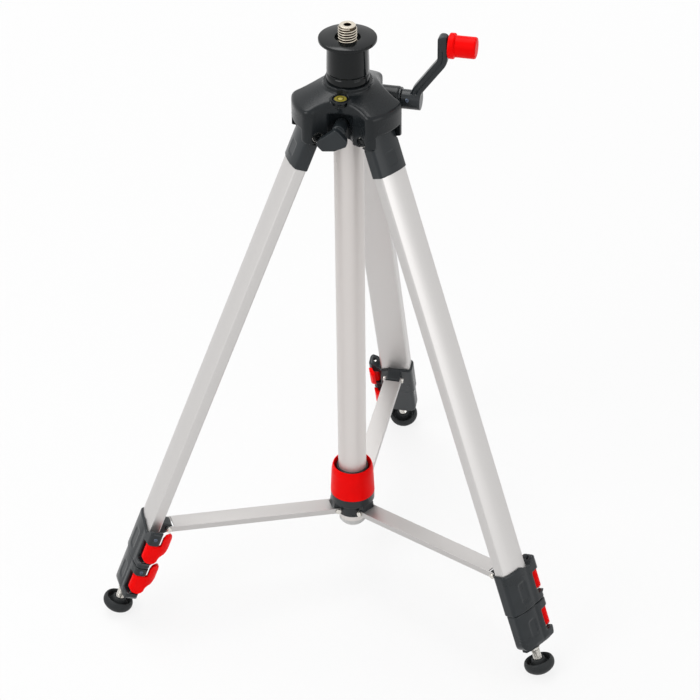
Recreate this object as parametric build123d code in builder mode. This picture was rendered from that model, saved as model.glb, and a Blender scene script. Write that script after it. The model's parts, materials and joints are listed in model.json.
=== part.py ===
from build123d import *
from math import acos, atan2, cos, degrees, hypot, pi, radians, sin, sqrt, tan
import os

# Frame: millimetres, +Z up, origin on the floor under the column.
# Rear leg towards +Y, left leg at 210 degrees, right leg at 330 degrees, crank towards +X.

# Stance
LEG_ANGLES = {"rear": 90.0, "left": 210.0, "right": 330.0}
LEAN = 22.4
LEAN_COS = cos(radians(LEAN))
LEAN_SIN = sin(radians(LEAN))

# Fits
SEAT_GAP = 0.03
SLIDE_GAP = 0.35
LEVER_GAP = 0.4

# Leg tube: flat towards the column, bowed outwards
TUBE_WIDTH = 29.6
TUBE_INNER = 1.5
TUBE_DEPTH = 12.8
TUBE_BULGE = 2.6
TUBE_CORNER = 1.8
TUBE_WALL = 1.0
TUBE_STEP = 1.4
TUBE_OUTER = TUBE_INNER + TUBE_DEPTH
LEG_CENTRE = (TUBE_INNER + TUBE_OUTER) / 2
BOW_RADIUS = ((TUBE_WIDTH / 2) ** 2 + TUBE_BULGE ** 2) / (2 * TUBE_BULGE)
BOW_CENTRE = TUBE_OUTER - BOW_RADIUS

# Lengths along a leg
HINGE_ALONG = 71.0
HINGE_OUT = 6.0
BRACKET_DROP = 8.5
BRACKET_LENGTH = 25.5
BRACKET_ROOF = 4.5
UPPER_TUBE_LENGTH = 408.0
MIDDLE_TUBE_SET = 5.0
LOWER_TUBE_SET = 25.0
UPPER_CLAMP_GRIP = 9.7
UPPER_CLAMP_LENGTH = 39.4
CLAMP_SEAM = 0.6
LOWER_CLAMP_GRIP = 8.7
LOWER_CLAMP_LENGTH = 37.7
TUBE_PEEP = 0.6
FOOT_DROP = 17.0
ARM_PIN_DROP = 4.2
ARM_PIN_OUT = -9.0
UPPER_LEVER_DROP = 12.1
LOWER_LEVER_DROP = 8.3

# Distances down a leg from the apex, where its axis meets the column
BRACKET_TOP = HINGE_ALONG + BRACKET_DROP
BRACKET_END = BRACKET_TOP + BRACKET_LENGTH
UPPER_TUBE_TOP = BRACKET_TOP + BRACKET_ROOF
UPPER_TUBE_END = UPPER_TUBE_TOP + UPPER_TUBE_LENGTH
MIDDLE_TUBE_TOP = BRACKET_END + MIDDLE_TUBE_SET
LOWER_TUBE_TOP = MIDDLE_TUBE_TOP + LOWER_TUBE_SET
UPPER_CLAMP_TOP = UPPER_TUBE_END - UPPER_CLAMP_GRIP
UPPER_CLAMP_END = UPPER_CLAMP_TOP + UPPER_CLAMP_LENGTH
LOWER_CLAMP_TOP = UPPER_CLAMP_END + CLAMP_SEAM
LOWER_CLAMP_END = LOWER_CLAMP_TOP + LOWER_CLAMP_LENGTH
MIDDLE_TUBE_END = LOWER_CLAMP_TOP + LOWER_CLAMP_GRIP
LOWER_TUBE_END = LOWER_CLAMP_END + TUBE_PEEP
FOOT_ALONG = LOWER_TUBE_END + FOOT_DROP
ARM_PIN_ALONG = UPPER_CLAMP_TOP + ARM_PIN_DROP
UPPER_LEVER_TOP = UPPER_CLAMP_TOP + UPPER_LEVER_DROP
LOWER_LEVER_TOP = LOWER_CLAMP_TOP + LOWER_LEVER_DROP

# Foot: a rubber cushion with a domed sole on a screwed stem
FOOT_RADIUS = 13.9
FOOT_CORNER = 7.2
SOLE_RADIUS = 17.0
SOLE_RISE = sqrt((SOLE_RADIUS - FOOT_CORNER) ** 2 - (FOOT_RADIUS - FOOT_CORNER) ** 2)
SOLE_TURN = degrees(atan2(FOOT_RADIUS - FOOT_CORNER, SOLE_RISE))
FOOT_BOSS = 5.6
STEM_RADIUS = 3.9
STEM_SEAT = 7.0
STEM_REACH = 6.4
STEM_COLLAR_RADIUS = 6.2
STEM_COLLAR_HEIGHT = 2.8
SPIGOT_RADIUS = 2.2
APEX_Z = SOLE_RADIUS + (FOOT_ALONG - SOLE_RISE) * LEAN_COS - LEG_CENTRE * LEAN_SIN

# Clamps and levers
UPPER_CLAMP_GROW = 2.0
LOWER_CLAMP_GROW = 0.9
UPPER_LUG = 27.2
LOWER_LUG = 24.9
LUG_INNER = 1.8
EAR_RISE = 2.0
LEVER_PIN_OUT = 8.5
UPPER_LEVER_SIDE = 22.0
LOWER_LEVER_SIDE = 19.6
LEVER_PIN_RADIUS = 1.5
LEVER_HEIGHT = 20.0
LEVER_TIP = 12.8
LEVER_CURVE = 15.8
LEVER_PLATE = 3.4
CAM_RADIUS = 4.6
RECESS_DEPTH = 0.8

# Leg bracket
BRACKET_GROW = 1.0
KNUCKLE_HALF = 13.6
KNUCKLE_RADIUS = 8.2
HINGE_PIN_RADIUS = 3.0
PIN_SHOULDER = 16.8
PIN_HEAD_RADIUS = 4.3
PIN_HEAD = 2.0


def leg_point(along, out):
    """Radius and height of a point given by its distance down a leg and outwards from its axis."""
    return (along * LEAN_SIN + out * LEAN_COS, APEX_Z - along * LEAN_COS + out * LEAN_SIN)


HINGE_R, HINGE_Z = leg_point(HINGE_ALONG, HINGE_OUT)
ARM_PIN_R, ARM_PIN_Z = leg_point(ARM_PIN_ALONG, ARM_PIN_OUT)

# Column, guide tube and rack
COLUMN_BORE = 9.0
COLUMN_WALL = 1.8
COLUMN_GAP = 0.5
GUIDE_WALL = 1.6
COLUMN_RADIUS = COLUMN_BORE + COLUMN_WALL
GUIDE_BORE = COLUMN_RADIUS + COLUMN_GAP
GUIDE_RADIUS = GUIDE_BORE + GUIDE_WALL
MODULE = 1.0
PINION_TEETH = 14
PRESSURE = 25.0
TOOTH_BACKLASH = 0.2
PITCH_RADIUS = MODULE * PINION_TEETH / 2
BASE_RADIUS = PITCH_RADIUS * cos(radians(PRESSURE))
PITCH = pi * MODULE
RACK_PITCH_Y = COLUMN_BORE
RACK_BELOW = 83
RACK_ABOVE = 3
RACK_WIDTH = 7.8
RACK_BACK = 2.6

# Head, in heights above the leg hinge pins
HEAD_SKIRT = 5.1
LIP_RISE = 7.9
CROWN_EDGE = 23.1
CROWN_TOP = 36.3
NECK_RING_RISE = 40.4
VIAL_RISE = 35.5
CRANK_RISE = 17.6
LOCK_RISE = 9.9
GUIDE_RISE = 30.9
HEAD_BOTTOM = HINGE_Z - HEAD_SKIRT
LOBE_LIP = HINGE_Z + LIP_RISE
NECK_RING_TOP = HINGE_Z + NECK_RING_RISE
VIAL_TOP = HINGE_Z + VIAL_RISE
CRANK_Z = HINGE_Z + CRANK_RISE
LOCK_Z = HINGE_Z + LOCK_RISE
GUIDE_TOP = HINGE_Z + GUIDE_RISE
LOBE_RADIUS = 47.5
LOBE_CORNER = 7.0
LOBE_ROUND = 4.5
VALLEY_RADIUS = 34.0
VALLEY_CENTRE = 62.5
CHEEK_GAP = 14.2
FORK_RADIUS = 11.6
POCKET_RADIUS = 10.5
POCKET_CENTRE = 31.0
POCKET_RISE = 12.0
NECK_RING_RADIUS = 20.7
BUSH_RADIUS = 15.0
VIAL_AT = (-0.5, -25.6)
VIAL_RADIUS = 6.25
VIAL_DEPTH = 5.9

# Platform and stud
PLATFORM_LIFT = 0.2
PLATFORM_HEIGHT = 38.3
PLATFORM_RADIUS = 24.35
NECK_RADIUS = 18.0
PLATFORM_BOTTOM = NECK_RING_TOP + PLATFORM_LIFT
PLATFORM_TOP = PLATFORM_BOTTOM + PLATFORM_HEIGHT
COLUMN_SET = 12.5
COLUMN_TOP = PLATFORM_TOP - COLUMN_SET
STUD_RADIUS = 15.875 / 2
STUD_ROOT = 8.6
STUD_LENGTH = 11.4
STUD_WELL = 4.0
STUD_TOP = PLATFORM_TOP + STUD_LENGTH

# Crank, out along +X from the head
CRANK_Y = RACK_PITCH_Y + PITCH_RADIUS
SHAFT_RADIUS = 3.5
SHAFT_FIT = 0.05
SHAFT_BACK = 14.0
BOSS_RADIUS = 10.3
BOSS_REACH = 40.4
CRANK_BUSH_RADIUS = 8.37
BUSH_FLANGE = 1.4
CRANK_HUB_RADIUS = 8.25
CRANK_HUB_LENGTH = 16.4
ARM_START = BOSS_REACH + BUSH_FLANGE + 0.5
ARM_BREADTH = 8.6
ARM_FRONT = 4.5
ARM_OFFSET = 22.4
ARM_CURVE = 12.0
CRANK_THROW = 53.9
ARM_CROWN = 9.2
HUB_FACE = ARM_START + CRANK_HUB_LENGTH
ARM_FACE = HUB_FACE + ARM_OFFSET
GRIP_Z = CRANK_Z + CRANK_THROW
GRIP_START = ARM_FACE + 0.4
GRIP_LENGTH = 23.2
GRIP_FLANGE = 10.8
GRIP_RADIUS = 9.1
GRIP_PIN_RADIUS = 2.5

# Column lock
LOCK_SHANK = 3.0
LOCK_HUB = 5.6
LOCK_HUB_LENGTH = 14.3
PADDLE = 6.0
LOCK_BACK = POCKET_CENTRE - sqrt(POCKET_RADIUS ** 2 - LOCK_HUB ** 2) + 0.6

# Spreader
HUB_PIN_OUT = 16.5
HUB_PIN_Z = 71.1
SPREADER_PIN_RADIUS = 2.0
ARM_WIDTH = 16.4
ARM_HEIGHT = 5.4
ARM_WALL = 1.2
ARM_NOTCH = 5.2
KNUCKLE_EAR = 4.2
LUG_HALF = 6.7
HUB_RADIUS = 20.25
HUB_BORE = GUIDE_RADIUS + 0.3
SLEEVE_RADIUS = HUB_BORE + 2.3
SLEEVE_NECK = HUB_BORE + 1.4
FLANGE_RISE = 7.9
FLANGE_HEIGHT = 8.4
COLLAR_HEIGHT = 30.6
COLLAR_FUNNEL = 8.0
COLLAR_LIP = 1.4
GUIDE_DROP = 12.1
COLUMN_FOOT = 38.0
CAP_HEIGHT = 3.5
CAP_DOME = 7.2
FLANGE_BOTTOM = HUB_PIN_Z + FLANGE_RISE
FLANGE_TOP = FLANGE_BOTTOM + FLANGE_HEIGHT
COLLAR_TOP = FLANGE_TOP + COLLAR_HEIGHT
SLEEVE_TOP = COLLAR_TOP - COLLAR_LIP
GUIDE_BOTTOM = HUB_PIN_Z - GUIDE_DROP
COLUMN_BOTTOM = GUIDE_BOTTOM + COLUMN_FOOT
ARM_LENGTH = hypot(ARM_PIN_R - HUB_PIN_OUT, ARM_PIN_Z - HUB_PIN_Z)
ARM_TILT = degrees(atan2(ARM_PIN_Z - HUB_PIN_Z, ARM_PIN_R - HUB_PIN_OUT))

# A leg is drawn with x outwards, y along its width and z up its axis.
LEG_PLANE = Plane(
    origin=(0, 0, APEX_Z),
    x_dir=(LEAN_COS, 0, LEAN_SIN),
    z_dir=(-LEAN_SIN, 0, LEAN_COS),
)
ARM_PLANE = Plane(
    origin=(HUB_PIN_OUT, 0, HUB_PIN_Z),
    x_dir=(cos(radians(ARM_TILT)), 0, sin(radians(ARM_TILT))),
    z_dir=(-sin(radians(ARM_TILT)), 0, cos(radians(ARM_TILT))),
)


def leg_section(inset):
    """Section of the leg tube, drawn inwards by inset, with its flat side towards the column."""
    half = TUBE_WIDTH / 2 - inset
    flat = TUBE_INNER + inset
    bow = BOW_RADIUS - inset
    crease = BOW_CENTRE + sqrt(bow ** 2 - half ** 2)
    with BuildSketch() as section:
        with BuildLine():
            Polyline((crease, half), (flat, half), (flat, -half), (crease, -half))
            ThreePointArc((crease, -half), (BOW_CENTRE + bow, 0), (crease, half))
        make_face()
        fillet(section.vertices(), max(TUBE_CORNER - inset, 0.5))
    return section.sketch


def lug_section(face):
    """Section of the ears that carry a lever, out to their face beside the tube."""
    with BuildSketch() as section:
        with BuildLine():
            Polyline(
                (LUG_INNER, 10),
                (LUG_INNER, face - 3),
                (LUG_INNER + 2.4, face),
                (LEVER_PIN_OUT + 3.5, face),
                (LEVER_PIN_OUT + 5.3, face - 2.5),
                (LEVER_PIN_OUT + 6.6, 15),
                (LEVER_PIN_OUT + 6.6, 10),
                close=True,
            )
        make_face()
    return section.sketch


def lever_room(side):
    """Plan of the room that a lever and its cam turn in."""
    with BuildSketch() as room:
        with Locations((1, side - CAM_RADIUS - LEVER_GAP)):
            Rectangle(32, 20, align=(Align.CENTER, Align.MIN))
    return room.sketch


def radial_plane(angle):
    """Upright plane through the column and a leg, drawn in radius and height."""
    turn = radians(angle)
    return Plane(origin=(0, 0, 0), x_dir=(cos(turn), sin(turn), 0), z_dir=(sin(turn), -cos(turn), 0))


def involute_half_angle(radius):
    """Half of a pinion tooth's thickness at a radius, as an angle in radians."""
    at_pitch = (PITCH / 2 - TOOTH_BACKLASH / 2) / 2 / PITCH_RADIUS
    turn = radians(PRESSURE)
    at_base = at_pitch + tan(turn) - turn
    if radius <= BASE_RADIUS:
        return at_base
    swing = acos(BASE_RADIUS / radius)
    return at_base - (tan(swing) - swing)


def tooth_point(radius, side):
    """Point on one flank of a pinion tooth that stands along the sketch's x axis."""
    half = involute_half_angle(radius) * side
    return (radius * cos(half), radius * sin(half))


SECTION_TUBE = leg_section(0)
SECTION_TUBE_BORE = leg_section(TUBE_WALL)
SECTION_MIDDLE = leg_section(TUBE_STEP)
SECTION_MIDDLE_BORE = leg_section(TUBE_STEP + TUBE_WALL)
SECTION_LOWER = leg_section(2 * TUBE_STEP)
SECTION_LOWER_BORE = leg_section(2 * TUBE_STEP + TUBE_WALL)
SECTION_BRACKET = leg_section(-BRACKET_GROW)
SECTION_UPPER_CLAMP = leg_section(-UPPER_CLAMP_GROW)
SECTION_LOWER_CLAMP = leg_section(-LOWER_CLAMP_GROW)
SECTION_TUBE_SEAT = leg_section(-SEAT_GAP)
SECTION_MIDDLE_SEAT = leg_section(TUBE_STEP - SEAT_GAP)
SECTION_MIDDLE_PASS = leg_section(TUBE_STEP - SLIDE_GAP)
SECTION_LOWER_PASS = leg_section(2 * TUBE_STEP - SLIDE_GAP)

# Leg pieces, drawn once and set on each leg

with BuildPart() as upper_tube:
    with BuildSketch(Plane.XY.offset(-UPPER_TUBE_END)):
        add(SECTION_TUBE)
        add(SECTION_TUBE_BORE, mode=Mode.SUBTRACT)
    extrude(amount=UPPER_TUBE_END - UPPER_TUBE_TOP)

with BuildPart() as middle_tube:
    with BuildSketch(Plane.XY.offset(-MIDDLE_TUBE_END)):
        add(SECTION_MIDDLE)
        add(SECTION_MIDDLE_BORE, mode=Mode.SUBTRACT)
    extrude(amount=MIDDLE_TUBE_END - MIDDLE_TUBE_TOP)

with BuildPart() as lower_tube:
    with BuildSketch(Plane.XY.offset(-LOWER_TUBE_END)):
        add(SECTION_LOWER)
        add(SECTION_LOWER_BORE, mode=Mode.SUBTRACT)
    extrude(amount=LOWER_TUBE_END - LOWER_TUBE_TOP)
    with BuildSketch(Plane.XY.offset(-LOWER_TUBE_END)):
        add(SECTION_LOWER)
    extrude(amount=STEM_SEAT + 1)
    with BuildSketch(Plane.XY.offset(-LOWER_TUBE_END)):
        with Locations((LEG_CENTRE, 0)):
            Circle(SPIGOT_RADIUS + 0.04)
    extrude(amount=STEM_SEAT + 1, mode=Mode.SUBTRACT)

BRACKET_FACE = TUBE_OUTER + BRACKET_GROW

with BuildPart() as knuckle:
    with BuildSketch(Plane.XZ):
        with Locations((HINGE_OUT, -HINGE_ALONG)):
            Circle(KNUCKLE_RADIUS)
        with BuildLine():
            Polyline(
                (HINGE_OUT - KNUCKLE_RADIUS, -HINGE_ALONG),
                (TUBE_INNER - 1.4, -BRACKET_TOP - 1),
                (BRACKET_FACE, -BRACKET_TOP - 1),
                (BRACKET_FACE, -HINGE_ALONG + 1.5),
                (BRACKET_FACE - 0.4, -HINGE_ALONG + 4.0),
                (HINGE_OUT + 5.8, -HINGE_ALONG + 5.8),
                close=True,
            )
        make_face()
    extrude(amount=KNUCKLE_HALF, both=True)
    with BuildSketch(Plane.XY.offset(-BRACKET_END)):
        add(SECTION_BRACKET)
        with Locations((TUBE_INNER + 4, 0)):
            Rectangle(30, 2 * KNUCKLE_HALF + 1, align=(Align.MAX, Align.CENTER))
    extrude(amount=BRACKET_END, mode=Mode.INTERSECT)

with BuildPart() as leg_bracket:
    with BuildSketch(Plane.XY.offset(-BRACKET_END)):
        add(SECTION_BRACKET)
    extrude(amount=BRACKET_LENGTH)
    fillet(leg_bracket.edges().group_by(Axis.Z)[-1], 0.8)
    add(knuckle.part)
    with BuildSketch(Plane.XZ):
        with Locations((HINGE_OUT, -HINGE_ALONG)):
            Circle(HINGE_PIN_RADIUS + 0.08)
        with Locations((HINGE_OUT - 12.2, -HINGE_ALONG + 10.4), (HINGE_OUT - 10.1, -HINGE_ALONG + 12.4)):
            Circle(HINGE_PIN_RADIUS + 0.5)
        make_hull()
    extrude(amount=KNUCKLE_HALF + 1, both=True, mode=Mode.SUBTRACT)
    with BuildSketch(Plane.XY.offset(-BRACKET_END)):
        add(SECTION_TUBE_SEAT)
    extrude(amount=BRACKET_END - UPPER_TUBE_TOP, mode=Mode.SUBTRACT)
    with BuildSketch(Plane.YZ.offset(BRACKET_FACE - BRACKET_GROW / 2)):
        with Locations((0, -(BRACKET_TOP + BRACKET_END) / 2)):
            RectangleRounded(10.5, BRACKET_LENGTH / 2, 2)
    extrude(amount=5, mode=Mode.SUBTRACT)

with BuildPart() as upper_clamp:
    with BuildSketch(Plane.XY.offset(-UPPER_CLAMP_END)):
        add(SECTION_UPPER_CLAMP)
    extrude(amount=UPPER_CLAMP_LENGTH + 0.5)
    fillet(upper_clamp.edges().group_by(Axis.Z)[-1], 1.2)
    with BuildSketch(Plane.XY.offset(-UPPER_CLAMP_END)):
        add(lug_section(LOWER_LUG))
    extrude(amount=UPPER_CLAMP_LENGTH)
    with BuildSketch(Plane.XY.offset(-UPPER_CLAMP_END + 5.3)):
        add(lug_section(UPPER_LUG))
    extrude(amount=UPPER_CLAMP_LENGTH - 5.3 + EAR_RISE)
    with BuildSketch(Plane.YZ):
        with BuildLine():
            Polyline(
                (-30, -UPPER_CLAMP_TOP + 1),
                (3, -UPPER_CLAMP_TOP + 1),
                (13.5, -UPPER_CLAMP_TOP - 4.7),
                (UPPER_LEVER_SIDE - 5.5, -UPPER_CLAMP_TOP - 4.7),
                (UPPER_LEVER_SIDE, -UPPER_CLAMP_TOP + EAR_RISE - 0.8),
                (UPPER_LUG - 2.2, -UPPER_CLAMP_TOP + EAR_RISE),
                (UPPER_LUG, -UPPER_CLAMP_TOP),
                (UPPER_LUG, -UPPER_CLAMP_END + 7.5),
                (LOWER_LUG + 0.2, -UPPER_CLAMP_END + 5.3),
                (LOWER_LUG + 0.2, -UPPER_CLAMP_END - 1),
                (-30, -UPPER_CLAMP_END - 1),
                close=True,
            )
        make_face()
    extrude(amount=40, both=True, mode=Mode.INTERSECT)
    with BuildSketch(Plane.XZ):
        with Locations((ARM_PIN_OUT, -ARM_PIN_ALONG)):
            Circle(KNUCKLE_EAR)
        with BuildLine():
            Polyline(
                (ARM_PIN_OUT, -ARM_PIN_ALONG + KNUCKLE_EAR),
                (2, -ARM_PIN_ALONG + KNUCKLE_EAR),
                (2, -ARM_PIN_ALONG - 9.0),
                (-1.8, -ARM_PIN_ALONG - 9.0),
                (ARM_PIN_OUT, -ARM_PIN_ALONG - KNUCKLE_EAR),
                close=True,
            )
        make_face()
    extrude(amount=LUG_HALF, both=True)
    with BuildSketch(Plane.XY.offset(-UPPER_LEVER_TOP - LEVER_HEIGHT - LEVER_GAP)):
        add(lever_room(UPPER_LEVER_SIDE))
    extrude(amount=LEVER_HEIGHT + 2 * LEVER_GAP, mode=Mode.SUBTRACT)
    with BuildSketch(Plane.XY.offset(-UPPER_TUBE_END)):
        add(SECTION_TUBE_SEAT)
    extrude(amount=UPPER_CLAMP_GRIP + 10, mode=Mode.SUBTRACT)
    with BuildSketch(Plane.XY.offset(-UPPER_CLAMP_END - 1)):
        add(SECTION_MIDDLE_PASS)
    extrude(amount=UPPER_CLAMP_LENGTH + 10, mode=Mode.SUBTRACT)
    with BuildSketch(Plane.XZ):
        with Locations((ARM_PIN_OUT, -ARM_PIN_ALONG)):
            Circle(SPREADER_PIN_RADIUS + 0.02)
    extrude(amount=LUG_HALF + 1, both=True, mode=Mode.SUBTRACT)
    with BuildSketch(Plane.XY.offset(-UPPER_CLAMP_END - 1)):
        with Locations((LEVER_PIN_OUT, UPPER_LEVER_SIDE)):
            Circle(LEVER_PIN_RADIUS + 0.02)
    extrude(amount=UPPER_CLAMP_LENGTH + 10, mode=Mode.SUBTRACT)
    with BuildSketch(Plane.YZ.offset(TUBE_OUTER + UPPER_CLAMP_GROW - RECESS_DEPTH)):
        with Locations((0, -UPPER_LEVER_TOP - LEVER_HEIGHT / 2)):
            RectangleRounded(9.5, LEVER_HEIGHT, 3)
    extrude(amount=5, mode=Mode.SUBTRACT)

with BuildPart() as lower_clamp:
    with BuildSketch(Plane.XY.offset(-LOWER_CLAMP_END)):
        add(SECTION_LOWER_CLAMP)
    extrude(amount=LOWER_CLAMP_LENGTH)
    with BuildSketch(Plane.XY.offset(-LOWER_CLAMP_END)):
        add(lug_section(LOWER_LUG))
    extrude(amount=LOWER_CLAMP_LENGTH)
    with BuildSketch(Plane.YZ) as clamp_front:
        with BuildLine():
            Polyline(
                (-TUBE_WIDTH / 2 - LOWER_CLAMP_GROW - 0.1, -LOWER_CLAMP_TOP + 1),
                (LOWER_LUG + 0.2, -LOWER_CLAMP_TOP + 1),
                (LOWER_LUG + 0.2, -LOWER_CLAMP_END + 6),
                (LOWER_LUG - 2.9, -LOWER_CLAMP_END + 2),
                (LOWER_LUG - 9.9, -LOWER_CLAMP_END),
                (-TUBE_WIDTH / 2 - LOWER_CLAMP_GROW - 0.1, -LOWER_CLAMP_END),
                close=True,
            )
        make_face()
        fillet(clamp_front.vertices().group_by(Axis.Y)[0].sort_by(Axis.X)[0], 9)
    extrude(amount=40, both=True, mode=Mode.INTERSECT)
    with BuildSketch(Plane.XZ):
        with BuildLine():
            Polyline(
                (TUBE_OUTER + LOWER_CLAMP_GROW + 1, -LOWER_CLAMP_END + 6.5),
                (TUBE_OUTER + LOWER_CLAMP_GROW - 2.2, -LOWER_CLAMP_END - 0.1),
                (TUBE_OUTER + LOWER_CLAMP_GROW + 1, -LOWER_CLAMP_END - 0.1),
                close=True,
            )
        make_face()
    extrude(amount=30, both=True, mode=Mode.SUBTRACT)
    with BuildSketch(Plane.XY.offset(-LOWER_LEVER_TOP - LEVER_HEIGHT - LEVER_GAP)):
        add(lever_room(LOWER_LEVER_SIDE))
    extrude(amount=LEVER_HEIGHT + 2 * LEVER_GAP, mode=Mode.SUBTRACT)
    with BuildSketch(Plane.XY.offset(-MIDDLE_TUBE_END)):
        add(SECTION_MIDDLE_SEAT)
    extrude(amount=LOWER_CLAMP_GRIP + 10, mode=Mode.SUBTRACT)
    with BuildSketch(Plane.XY.offset(-LOWER_CLAMP_END - 1)):
        add(SECTION_LOWER_PASS)
    extrude(amount=LOWER_CLAMP_LENGTH + 10, mode=Mode.SUBTRACT)
    with BuildSketch(Plane.XY.offset(-LOWER_CLAMP_END - 1)):
        with Locations((LEVER_PIN_OUT, LOWER_LEVER_SIDE)):
            Circle(LEVER_PIN_RADIUS + 0.02)
    extrude(amount=LOWER_CLAMP_LENGTH + 10, mode=Mode.SUBTRACT)
    with BuildSketch(Plane.YZ.offset(TUBE_OUTER + LOWER_CLAMP_GROW - RECESS_DEPTH)):
        with Locations((0, -LOWER_LEVER_TOP - LEVER_HEIGHT / 2)):
            RectangleRounded(9, LEVER_HEIGHT - 3, 3)
    extrude(amount=5, mode=Mode.SUBTRACT)

# The lever is drawn with its pin at the sketch's x axis: a cam, a palm and a curled thumb.
LEVER_ARC = (LEVER_PIN_OUT - 5.5, CAM_RADIUS - LEVER_CURVE)
LEVER_INNER = LEVER_CURVE - LEVER_PLATE
LEVER_SWEEP = 51.7


def lever_arc_end(radius):
    """Point where the curled plate of a lever ends, at a radius about its arc's centre."""
    turn = radians(90 + LEVER_SWEEP)
    return (LEVER_ARC[0] + radius * cos(turn), LEVER_ARC[1] + radius * sin(turn))


with BuildPart() as clamp_lever:
    with BuildSketch(Plane.XY.offset(-LEVER_HEIGHT)):
        with Locations((LEVER_PIN_OUT, 0)):
            Circle(CAM_RADIUS)
        with BuildLine():
            CenterArc(LEVER_ARC, LEVER_CURVE, 90, LEVER_SWEEP)
            Line(lever_arc_end(LEVER_CURVE), lever_arc_end(LEVER_INNER))
            CenterArc(LEVER_ARC, LEVER_INNER, 90 + LEVER_SWEEP, -LEVER_SWEEP)
            Polyline(
                (LEVER_ARC[0], CAM_RADIUS - LEVER_PLATE),
                (LEVER_PIN_OUT, -1.0),
                (LEVER_PIN_OUT, CAM_RADIUS),
                (LEVER_ARC[0], CAM_RADIUS),
            )
        make_face()
    extrude(amount=LEVER_HEIGHT + LEVER_TIP)
    with BuildSketch(Plane.XZ) as mitten:
        with BuildLine():
            Polyline(
                (14, 0),
                (0.6, 0),
                (0.6, LEVER_TIP - 4.2),
                (-1.2, LEVER_TIP - 0.8),
                (-4.6, LEVER_TIP),
                (-8.0, LEVER_TIP - 1.8),
                (-9.6, LEVER_TIP - 6.8),
                (-9.6, -LEVER_HEIGHT + 16.5),
                (-7.6, -LEVER_HEIGHT + 12.5),
                (-2.6, -LEVER_HEIGHT + 6.5),
                (0.4, -LEVER_HEIGHT + 1.4),
                (3.2, -LEVER_HEIGHT),
                (5.0, -LEVER_HEIGHT),
                (9.5, -LEVER_HEIGHT + 1.0),
                (14, -LEVER_HEIGHT + 5.5),
                close=True,
            )
        make_face()
        fillet(mitten.vertices().sort_by(Axis.X)[:12], 1.0)
    extrude(amount=30, both=True, mode=Mode.INTERSECT)
    with BuildSketch(Plane.XY.offset(-LEVER_HEIGHT - 1)):
        with Locations((LEVER_PIN_OUT, 0)):
            Circle(LEVER_PIN_RADIUS + 0.05)
    extrude(amount=LEVER_HEIGHT + 2, mode=Mode.SUBTRACT)

with BuildPart() as leg_pins:
    with BuildSketch(Plane.XZ):
        with Locations((ARM_PIN_OUT, -ARM_PIN_ALONG)):
            Circle(SPREADER_PIN_RADIUS)
    extrude(amount=ARM_WIDTH / 2 + 1.3, both=True)
    for side in (1, -1):
        with BuildSketch(Plane.XZ.offset(side * (ARM_WIDTH / 2 + 0.3))):
            with Locations((ARM_PIN_OUT, -ARM_PIN_ALONG)):
                Circle(SPREADER_PIN_RADIUS + 0.6)
        extrude(amount=side * 1.0)
    with BuildSketch(Plane.XY.offset(-UPPER_CLAMP_END + 0.6)):
        with Locations((LEVER_PIN_OUT, UPPER_LEVER_SIDE)):
            Circle(LEVER_PIN_RADIUS)
    extrude(amount=UPPER_CLAMP_LENGTH - 2.2)

with BuildPart() as lower_lever_pin:
    with BuildSketch(Plane.XY.offset(-LOWER_CLAMP_END + 3.6)):
        with Locations((LEVER_PIN_OUT, LOWER_LEVER_SIDE)):
            Circle(LEVER_PIN_RADIUS)
    extrude(amount=LOWER_CLAMP_LENGTH - 4.2)

STEM_TOP = LOWER_TUBE_END - STEM_SEAT
STEM_END = FOOT_ALONG + STEM_REACH
STEM_COLLAR_END = LOWER_TUBE_END + STEM_COLLAR_HEIGHT

with BuildPart() as foot_stem:
    with BuildSketch(Plane.XZ):
        with BuildLine():
            Polyline(
                (LEG_CENTRE, -STEM_TOP),
                (LEG_CENTRE + SPIGOT_RADIUS, -STEM_TOP),
                (LEG_CENTRE + SPIGOT_RADIUS, -LOWER_TUBE_END),
                (LEG_CENTRE + STEM_COLLAR_RADIUS, -LOWER_TUBE_END),
                (LEG_CENTRE + STEM_COLLAR_RADIUS, -STEM_COLLAR_END),
                (LEG_CENTRE + STEM_RADIUS, -STEM_COLLAR_END),
                (LEG_CENTRE + STEM_RADIUS, -STEM_END + 1),
                (LEG_CENTRE + STEM_RADIUS - 1, -STEM_END),
                (LEG_CENTRE, -STEM_END),
                close=True,
            )
        make_face()
    revolve(axis=Axis((LEG_CENTRE, 0, 0), (0, 0, 1)))

FOOT_RING = LEG_CENTRE + FOOT_RADIUS - FOOT_CORNER
FOOT_LIP = 65.0
LIP_POINT = (
    FOOT_RING + FOOT_CORNER * cos(radians(FOOT_LIP)),
    -FOOT_ALONG + FOOT_CORNER * sin(radians(FOOT_LIP)),
)

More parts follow.
